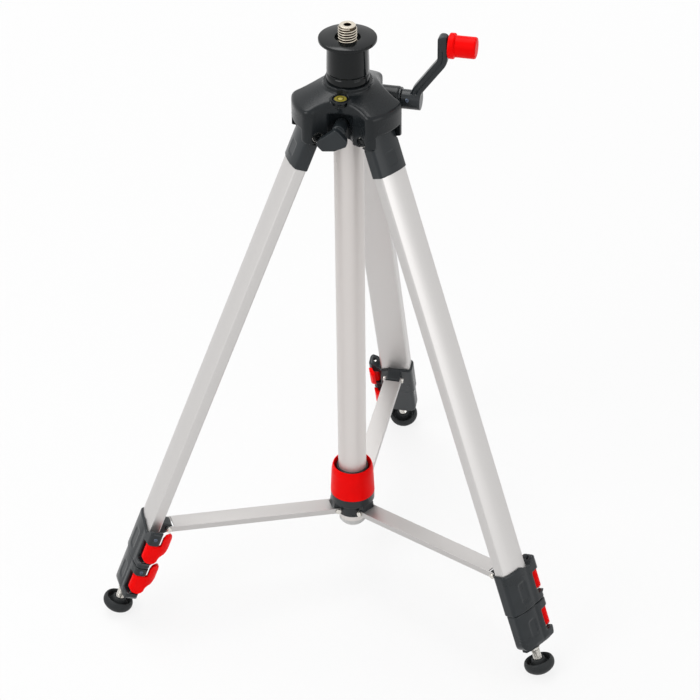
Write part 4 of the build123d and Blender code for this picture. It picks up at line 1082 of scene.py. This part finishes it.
@dataclass
class Head:
    """Moulded head with its leg hinges, guide tube and bushes."""

    trees: Trees
    hinge_along: float = 0.071
    hinge_out: float = 0.006
    pin_end: float = 0.0188
    fork_top: float = 0.484
    fork_fade: float = 0.006
    ring_reach: float = 0.021
    ring_fade: float = 0.004
    least_give: float = 0.2
    skin: MouldedSkin = MouldedSkin(voxel=0.0008, passes=60)
    socket: Fastener = Fastener(0.0040, 0.0011, Drive.HEXAGON, recess=0.0019)

    def build_hinge_screws(self) -> None:
        """Set a socket screw on both ends of every leg hinge."""
        seats = []
        for side in Side:
            stand = LegFrame(side).matrix()
            seats += pin_ends(stand, self.hinge_out, self.pin_end, -self.hinge_along)
        self.socket.place("hinge_screws", seats, BLACK_GLOSS, "head", self.trees.fastener)

    def lobe_give(self, points: np.ndarray) -> np.ndarray:
        """Soften the lobes most, and hardly the neck ring and the forks.

        Args:
            points: Points of the head.

        Returns:
            Share of the softening at each point.
        """
        out = np.hypot(points[:, 0], points[:, 1])
        ring = np.clip((out - self.ring_reach) / self.ring_fade, 0.0, 1.0)
        fork = np.clip((points[:, 2] - self.fork_top) / self.fork_fade, 0.0, 1.0)
        return self.least_give + (1 - self.least_give) * ring * fork

    def build_moulding(self) -> None:
        """Round the moulded head."""
        self.skin.place("shoulder", HEAD_BLACK, "head", self.lobe_give)

    def dress(self) -> None:
        """Give the head's own nodes their finishes."""
        dress_node("leg_hinge_pins", STEEL)
        dress_node("guide_tube", COLUMN_ALUMINIUM)
        dress_node("guide_tube_cap", GREY_MOULDING)
        dress_node("column_bush", BLACK_MOULDING)
        dress_node("crank_bush", BLACK_MOULDING)


@dataclass
class RisingColumn:
    """Sliding column with its rack, the black neck and the instrument stud."""

    trees: Trees
    column: Extent = Extent.of("column_tube")
    platform: Extent = Extent.of("platform")
    stud: Extent = Extent.of("stud")
    stud_thread: Thread = Thread(
        radius=STUD_STEEL.crest, pitch=0.0023, ridge=0.00062, start=0.00036, height=0.0134
    )
    stud_core: float = STUD_STEEL.root
    stud_root: float = 0.0086
    stud_chamfer: float = 0.0008
    fit_gap: float = 0.00003
    seat_gap: float = 0.0002
    well_radius: float = STUD_STEEL.well
    well_mouth: float = 0.0035
    well_lip: float = 0.0005
    well_depth: float = 0.007
    well_point: float = 0.0085
    stud_well: float = 0.01075
    stud_well_depth: float = 0.004
    stud_well_chamfer: float = 0.0003
    neck_radius: float = 0.0180
    platform_segments: int = 96
    neck_groove: Profile = (
        (-0.0002, 0.0),
        (0.0, 0.0002),
        (0.0, 0.0053),
        (-0.0002, 0.0057),
        (-0.0006, 0.0061),
        (-0.0007, 0.0065),
        (-0.0007, 0.0073),
        (-0.0006, 0.0077),
        (-0.0002, 0.0081),
        (-0.0001, 0.0086),
    )
    neck_flare: Profile = (
        (-0.0006, -0.0062),
        (-0.0005, -0.0055),
        (-0.0001, -0.0048),
        (0.0004, -0.0041),
        (0.0010, -0.0036),
    )
    flange_rim: Profile = (
        (-0.0008, -0.0033),
        (-0.0003, -0.0031),
        (0.0, -0.0025),
        (0.0, -0.0007),
        (-0.0002, -0.0002),
        (-0.0007, 0.0),
    )

    def build_platform(self) -> None:
        """Turn the neck with its groove and the flange with its rounded rim."""
        low = self.platform.bottom
        top = self.platform.top
        neck = self.neck_radius
        well = self.stud_well
        bore = self.column.reach + self.fit_gap
        hole = self.stud_root + self.fit_gap
        seat = self.column.top + self.seat_gap
        profile: list[Ring] = [(bore, low)]
        profile += [(neck + out, low + up) for out, up in self.neck_groove]
        profile += [(neck + out, top + up) for out, up in self.neck_flare]
        profile += [(self.platform.reach + out, top + up) for out, up in self.flange_rim]
        profile += [
            (well + self.stud_well_chamfer, top),
            (well, top - self.stud_well_chamfer),
            (well, top - self.stud_well_depth),
            (hole, top - self.stud_well_depth),
            (hole, seat),
            (bore, seat),
        ]
        mesh = ring_mesh("neck_flange", profile, self.platform_segments)
        shade(mesh)
        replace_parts(place_piece(mesh, "neck_flange", BLACK_GLOSS, "column"), "platform")

    def build_stud(self) -> None:
        """Build the threaded stud."""
        top = self.stud.top
        shoulder = self.column.top - self.seat_gap
        base = self.platform.top - self.stud_well_depth
        core: list[Ring] = [
            (0, self.stud.bottom),
            (self.stud.reach, self.stud.bottom),
            (self.stud.reach, shoulder),
            (self.stud_root, shoulder),
            (self.stud_root, base),
            (self.stud_core, base),
            (self.stud_core, top - self.stud_chamfer),
            (self.stud_core - self.stud_chamfer, top),
            (self.well_mouth, top),
            (self.well_radius, top - self.well_lip),
            (self.well_radius, top - self.well_depth),
            (0, top - self.well_point),
        ]
        mesh = self.stud_thread.mesh("stud_thread", core, base, STUD_STEEL, self.trees.thread)
        shade(mesh)
        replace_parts(place_piece(mesh, "stud_thread", STUD_STEEL, "column"), "stud")

    def dress(self) -> None:
        """Give the column's own nodes their finishes."""
        dress_node("column_tube", COLUMN_ALUMINIUM)
        dress_node("column_rack", GREY_MOULDING)


@dataclass
class Crank:
    """Crank with its S-shaped arm, shaft and turning grip."""

    trees: Trees
    axis: Point = pivot("crank_spin")
    hub_radius: float = 0.00825
    screw_reach: float = 0.0478
    screw_tilt: float = math.radians(20.0)
    skin: MouldedSkin = MouldedSkin(voxel=0.0005, passes=6)
    grub: Fastener = Fastener(0.0017, 0.0004, Drive.HEXAGON, recess=0.0009)

    def build_screws(self) -> None:
        """Set the grub screw that holds the hub on its shaft."""
        way = Vector((0, -math.cos(self.screw_tilt), math.sin(self.screw_tilt)))
        seat = Vector((self.screw_reach, *self.axis[1:])) + way * self.hub_radius
        self.grub.place("hub_screw", [(seat, way)], BLUED_STEEL, "crank", self.trees.fastener)

    def build_mouldings(self) -> None:
        """Round the arm and the lock's paddle."""
        self.skin.place("crank_arm", BLACK_MOULDING, "crank")
        self.skin.place("lock_knob", BLACK_MOULDING, "column_lock")

    def dress(self) -> None:
        """Give the crank's own nodes their finishes."""
        dress_node("crank_shaft", STEEL)
        dress_node("grip_screw", STEEL)
        dress_node("crank_grip", RED_MOULDING)


@dataclass
class Spreader:
    """Sliding hub with its red collar and the three channel arms."""

    trees: Trees
    rear_pin: Point = pivot("rear_arm_hinge")
    pin_end: float = 0.0095
    rivet: Fastener = PIN_RIVET

    def build_rivets(self) -> None:
        """Set a domed rivet on both ends of each hub pin."""
        _, out, height = self.rear_pin
        seats = []
        for side in Side:
            turn = Matrix.Rotation(math.radians(side.value), 4, "Z")
            seats += pin_ends(turn, out, self.pin_end, height)
        self.rivet.place("hub_rivets", seats, STEEL, "hub", self.trees.fastener)

    def dress(self) -> None:
        """Give the spreader's own nodes their finishes."""
        dress_node("spreader_hub", BLACK_MOULDING)
        dress_node("hub_pins", STEEL)
        dress_node("lock_collar", RED_MOULDING)


@dataclass
class Foot:
    """Foot of one leg: a bright threaded stem and the rubber foot that turns on it."""

    side: Side
    trees: Trees
    centre: float = 0.0079
    stem_top: float = 0.5536
    stem_flange: float = 0.5606
    stem_end: float = 0.5840
    stem_core: float = 0.0033
    stem_tip: float = 0.0027
    stem_chamfer: float = 0.0008
    stem_washer: float = 0.0047
    washer_height: float = 0.0012
    spigot_radius: float = 0.0022
    stem_thread: Thread = Thread(
        radius=0.0039, pitch=0.00125, ridge=0.00045, start=0.0004, height=0.0210
    )
    foot_along: float = 0.5776
    foot_ring: float = 0.0067
    foot_corner: float = 0.0072
    foot_lip: float = math.radians(24.0)
    sole_radius: float = 0.0170
    sole_rise: float = 0.007152
    sole_turn: float = math.radians(43.13)
    sole_steps: int = 8
    rim_steps: int = 10
    foot_segments: int = 64
    dish: Profile = (
        (0.01300, 0.00345),
        (0.01255, 0.00400),
        (0.01200, 0.00425),
        (0.01145, 0.00410),
        (0.01100, 0.00350),
        (0.01060, 0.00240),
        (0.01020, 0.00090),
        (0.00980, -0.00030),
        (0.00930, -0.00100),
        (0.00870, -0.00120),
        (0.00810, -0.00090),
        (0.00760, -0.00010),
        (0.00710, 0.00140),
        (0.00660, 0.00300),
        (0.00620, 0.00430),
        (0.00585, 0.00510),
        (0.00540, 0.00550),
        (0.00490, 0.00560),
        (0.00398, 0.00560),
        (0.00398, -0.00700),
        (0.0, -0.00700),
    )

    def build_stem(self) -> None:
        """Build the bright threaded stem above the foot."""
        core: list[Ring] = [
            (0, -self.stem_end),
            (self.stem_tip, -self.stem_end),
            (self.stem_core, -self.stem_end + self.stem_chamfer),
            (self.stem_core, -self.stem_flange - self.washer_height),
            (self.stem_washer, -self.stem_flange - self.washer_height),
            (self.stem_washer, -self.stem_flange),
            (self.spigot_radius, -self.stem_flange),
            (self.spigot_radius, -self.stem_top),
            (0, -self.stem_top),
        ]
        name = f"{self.side.label}_stem_thread"
        mesh = self.stem_thread.mesh(name, core, -self.stem_end, STEEL, self.trees.thread)
        mesh.transform(LegFrame(self.side).matrix() @ Matrix.Translation((self.centre, 0, 0)))
        shade(mesh)
        piece = place_piece(mesh, name, STEEL, f"{self.side.label}_lower")
        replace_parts(piece, f"{self.side.label}_foot_stem")

    def build_rubber(self) -> None:
        """Turn the rubber foot: domed sole, round rim, dished top and a cone about the stem."""
        profile: list[Ring] = [(0, self.sole_rise - self.sole_radius)]
        for step in range(1, self.sole_steps + 1):
            angle = self.sole_turn * step / self.sole_steps
            height = self.sole_rise - self.sole_radius * math.cos(angle)
            profile.append((self.sole_radius * math.sin(angle), height))
        swing = math.pi / 2 + self.foot_lip - self.sole_turn
        for step in range(1, self.rim_steps + 1):
            angle = self.sole_turn + swing * step / self.rim_steps
            reach = self.foot_ring + self.foot_corner * math.sin(angle)
            profile.append((reach, -self.foot_corner * math.cos(angle)))
        profile += self.dish
        name = f"{self.side.label}_foot_dish"
        mesh = ring_mesh(name, profile, self.foot_segments)
        drop = Matrix.Translation((self.centre, 0, -self.foot_along))
        mesh.transform(LegFrame(self.side).matrix() @ drop)
        shade(mesh)
        piece = place_piece(mesh, name, RUBBER, f"{self.side.label}_foot")
        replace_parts(piece, f"{self.side.label}_foot_cup")


@dataclass
class Leg:
    """One leg: bracket, three tubes, two clamps with their levers, and its spreader arm."""

    side: Side
    trees: Trees
    arm_pin_along: float = 0.4865
    arm_pin_out: float = -0.009
    arm_pin_end: float = 0.0095
    screw_along: tuple[float, float] = (0.4868, 0.5258)
    screw_out: float = 0.0085
    lug_face: tuple[float, float] = (0.0272, 0.0249)
    lever_top: tuple[float, float] = (0.4944, 0.5306)
    notch_place: tuple[float, float] = (-0.00688, 0.0152)
    notch_radius: float = 0.0060
    bracket_skin: MouldedSkin = MouldedSkin(voxel=0.00045, passes=8)
    skin: MouldedSkin = MouldedSkin(voxel=0.0007, passes=60, push=-0.505)
    lever_skin: MouldedSkin = MouldedSkin(voxel=0.0006, passes=30)
    rivet: Fastener = PIN_RIVET
    clamp_screw: Fastener = Fastener(0.0018, 0.0006, Drive.CROSS, recess=0.0010)

    def build_fasteners(self) -> None:
        """Set the rivets of the spreader arm's pin and the screws of both clamps."""
        label = self.side.label
        stand = LegFrame(self.side).matrix()
        ends = pin_ends(stand, self.arm_pin_out, self.arm_pin_end, -self.arm_pin_along)
        self.rivet.place(f"{label}_arm_rivets", ends, STEEL, f"{label}_leg", self.trees.fastener)
        sideways = stand.to_3x3() @ Vector((0, 1, 0))
        levels = zip(("upper", "lower"), self.screw_along, self.lug_face, ("leg", "middle"))
        for level, along, face, body in levels:
            seats = [(stand @ Vector((self.screw_out, face, -along)), sideways)]
            name = f"{label}_{level}_clamp_screw"
            self.clamp_screw.place(name, seats, BLUED_STEEL, f"{label}_{body}", self.trees.fastener)

    def notch(self, points: np.ndarray, top: float) -> np.ndarray:
        """Hollow the lower edge of a lever, below its thumb.

        Args:
            points: Points of the lever.
            top: How far down the leg the lever's palm starts.

        Returns:
            The points, moved out of the hollow.
        """
        stand = np.array(LegFrame(self.side).matrix())
        local = (points - stand[:3, 3]) @ stand[:3, :3]
        middle = np.array((self.notch_place[0], -top - self.notch_place[1]))
        away = local[:, [0, 2]] - middle
        reach = np.hypot(away[:, 0], away[:, 1])
        grow = np.maximum(self.notch_radius / np.maximum(reach, TINY), 1.0)
        local[:, [0, 2]] = middle + away * grow[:, None]
        return local @ stand[:3, :3].T + stand[:3, 3]

    def build_mouldings(self) -> None:
        """Round the bracket, both clamps and their levers."""
        label = self.side.label
        self.bracket_skin.place(f"{label}_leg_bracket", BLACK_MOULDING, f"{label}_leg")
        self.skin.place(f"{label}_upper_clamp", BLACK_MOULDING, f"{label}_leg")
        self.skin.place(f"{label}_lower_clamp", BLACK_MOULDING, f"{label}_middle")
        for level, top in zip(("upper", "lower"), self.lever_top):
            lever = f"{label}_{level}_lever"
            self.lever_skin.place(lever, RED_MOULDING, f"{lever}_body", form=partial(self.notch, top=top))

    def dress(self) -> None:
        """Give this leg's own nodes their finishes, with the draw lines along the leg."""
        label = self.side.label
        stand = LegFrame(self.side)
        across = (0.0, math.pi / 2, math.radians(self.side.value))
        tube = replace(LEG_ALUMINIUM, name=f"{label}_aluminium", turn=stand.turn())
        arm = replace(ARM_ALUMINIUM, name=f"{label}_arm_aluminium", turn=across)
        end_tube = replace(
            END_ALUMINIUM, name=f"{label}_end_aluminium", turn=stand.turn(), axis=stand.axis()
        )
        for piece in ("upper_tube", "middle_tube"):
            dress_node(f"{label}_{piece}", tube)
        dress_node(f"{label}_lower_tube", end_tube)
        dress_node(f"{label}_spreader_arm", arm)
        for piece in ("leg_pins", "lower_lever_pin"):
            dress_node(f"{label}_{piece}", STEEL)


@dataclass(frozen=True)
class Lamp:
    """A square soft light."""

    name: str
    place: Point
    size: float
    power: float

    def hang(self, target: Point) -> None:
        """Hang the lamp.

        Args:
            target: What it points at.
        """
        data = bpy.data.lights.new(self.name, "AREA")
        data.shape = "SQUARE"
        data.size = self.size
        data.energy = self.power
        lamp = add_object(self.name, data)
        lamp.location = self.place
        lamp.rotation_euler = (Vector(target) - Vector(self.place)).to_track_quat("-Z", "Y").to_euler()


@dataclass
class Studio:
    """Pale floor, soft lights, white surround and the camera."""

    floor_half: float = 9.0
    floor_colour: Colour = (0.86, 0.86, 0.86)
    floor_white: float = 0.84
    shadow_reach: float = 0.35
    white_reach: float = 1.6
    ambient: float = 0.42
    eye: Point = (0.41437, -1.72939, 1.48511)
    forward: Point = (-0.19153313, 0.79744775, -0.57218191)
    roll: float = math.radians(-0.6646)
    lens: float = 125.08
    sensor: float = 36.0
    target: Point = (0.0, 0.0, 0.3)
    lamps: tuple[Lamp, ...] = (
        Lamp("key_light", (-1.3, -1.5, 1.7), size=1.2, power=20.0),
        Lamp("fill_light", (1.7, -0.9, 0.9), size=1.2, power=7.0),
        Lamp("top_light", (-0.5, 0.5, 2.2), size=1.4, power=24.0),
    )

    def make_paper(self) -> bpy.types.Material:
        """Make the floor's paper, which keeps a faint shadow and lets the surround and lowered feet show.

        Returns:
            The finished node material.
        """
        shading = Shading(bpy.data.materials.new("floor_paper"))
        place = shading.node("ShaderNodeTexCoord").outputs["Object"]
        fibre = shading.node("ShaderNodeTexNoise", {"Scale": 240.0, "Detail": 2.0})
        bump = shading.node("ShaderNodeBump", {"Strength": 0.1, "Distance": 0.0001})
        paper = shading.node(
            "ShaderNodeBsdfPrincipled", {"Base Color": (*self.floor_colour, 1.0), "Roughness": 0.9}
        )
        clear = shading.node("ShaderNodeBsdfTransparent")
        path = shading.node("ShaderNodeLightPath")
        far = shading.node("ShaderNodeVectorMath", operation="LENGTH")
        white_share = shading.node(
            "ShaderNodeMapRange",
            {
                "From Min": self.shadow_reach,
                "From Max": self.white_reach,
                "To Min": self.floor_white,
                "To Max": 1.0,
            },
        )
        share = shading.node("ShaderNodeMath", operation="MULTIPLY")
        unlit = shading.node("ShaderNodeMath", operation="MAXIMUM")
        mix = shading.node("ShaderNodeMixShader")
        out = shading.node("ShaderNodeOutputMaterial")
        shading.link(place, fibre.inputs["Vector"])
        shading.link(fibre.outputs["Fac"], bump.inputs["Height"])
        shading.link(bump.outputs["Normal"], paper.inputs["Normal"])
        shading.link(place, far.inputs[0])
        shading.link(far.outputs["Value"], white_share.inputs["Value"])
        shading.link(shading.seen(path), share.inputs[0])
        shading.link(white_share.outputs["Result"], share.inputs[1])
        shading.link(share.outputs[0], unlit.inputs[0])
        shading.link(path.outputs["Is Shadow Ray"], unlit.inputs[1])
        shading.link(unlit.outputs[0], mix.inputs["Fac"])
        shading.link(paper.outputs["BSDF"], mix.inputs[1])
        shading.link(clear.outputs["BSDF"], mix.inputs[2])
        shading.link(mix.outputs["Shader"], out.inputs["Surface"])
        return shading.holder

    def build_floor(self) -> None:
        """Lay the floor."""
        build = bmesh.new()
        bmesh.ops.create_grid(build, x_segments=8, y_segments=8, size=self.floor_half)
        mesh = bpy.data.meshes.new("floor")
        build.to_mesh(mesh)
        build.free()
        mesh.materials.append(self.make_paper())
        add_object("floor", mesh)

    def build_surround(self) -> None:
        """Light the scene softly from a white surround."""
        sky = Shading(bpy.data.worlds.new("surround"))
        bpy.context.scene.world = sky.holder
        path = sky.node("ShaderNodeLightPath")
        strength = sky.node("ShaderNodeMapRange", {"To Min": self.ambient, "To Max": 1.0})
        white = sky.node("ShaderNodeBackground", {"Color": (1.0, 1.0, 1.0, 1.0)})
        out = sky.node("ShaderNodeOutputWorld")
        sky.link(sky.seen(path), strength.inputs["Value"])
        sky.link(strength.outputs["Result"], white.inputs["Strength"])
        sky.link(white.outputs["Background"], out.inputs["Surface"])

    def build_lights(self) -> None:
        """Hang the key light at the front left, a fill at the right and one above."""
        for lamp in self.lamps:
            lamp.hang(self.target)

    def build_camera(self) -> None:
        """Set up the camera at the viewing angle."""
        ahead = Vector(self.forward).normalized()
        level = ahead.cross(Vector((0, 0, 1))).normalized()
        above = level.cross(ahead)
        right = math.cos(self.roll) * level + math.sin(self.roll) * above
        up = right.cross(ahead)
        turn = Matrix((right, up, -ahead)).transposed().to_4x4()
        data = bpy.data.cameras.new("camera")
        data.sensor_width = self.sensor
        data.lens = self.lens
        camera = add_object("camera", data)
        camera.matrix_world = Matrix.Translation(self.eye) @ turn
        bpy.context.scene.camera = camera

    def build(self) -> None:
        """Set up floor, surround, lights, camera and the plain view transform."""
        self.build_floor()
        self.build_surround()
        self.build_lights()
        self.build_camera()
        bpy.context.scene.view_settings.view_transform = "Standard"


def main() -> None:
    """Dress the frame, build the added pieces and set up the studio."""
    logging.basicConfig(level=logging.INFO, format="%(message)s")
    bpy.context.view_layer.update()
    trees = Trees()
    head = Head(trees)
    head.dress()
    head.build_moulding()
    RoundLevel().build()
    head.build_hinge_screws()
    column = RisingColumn(trees)
    column.dress()
    column.build_platform()
    column.build_stud()
    crank = Crank(trees)
    crank.dress()
    crank.build_mouldings()
    crank.build_screws()
    spreader = Spreader(trees)
    spreader.dress()
    spreader.build_rivets()
    for side in Side:
        leg = Leg(side, trees)
        leg.dress()
        leg.build_mouldings()
        foot = Foot(side, trees)
        foot.build_stem()
        foot.build_rubber()
        leg.build_fasteners()
    Studio().build()


if __name__ == "__main__":
    main()
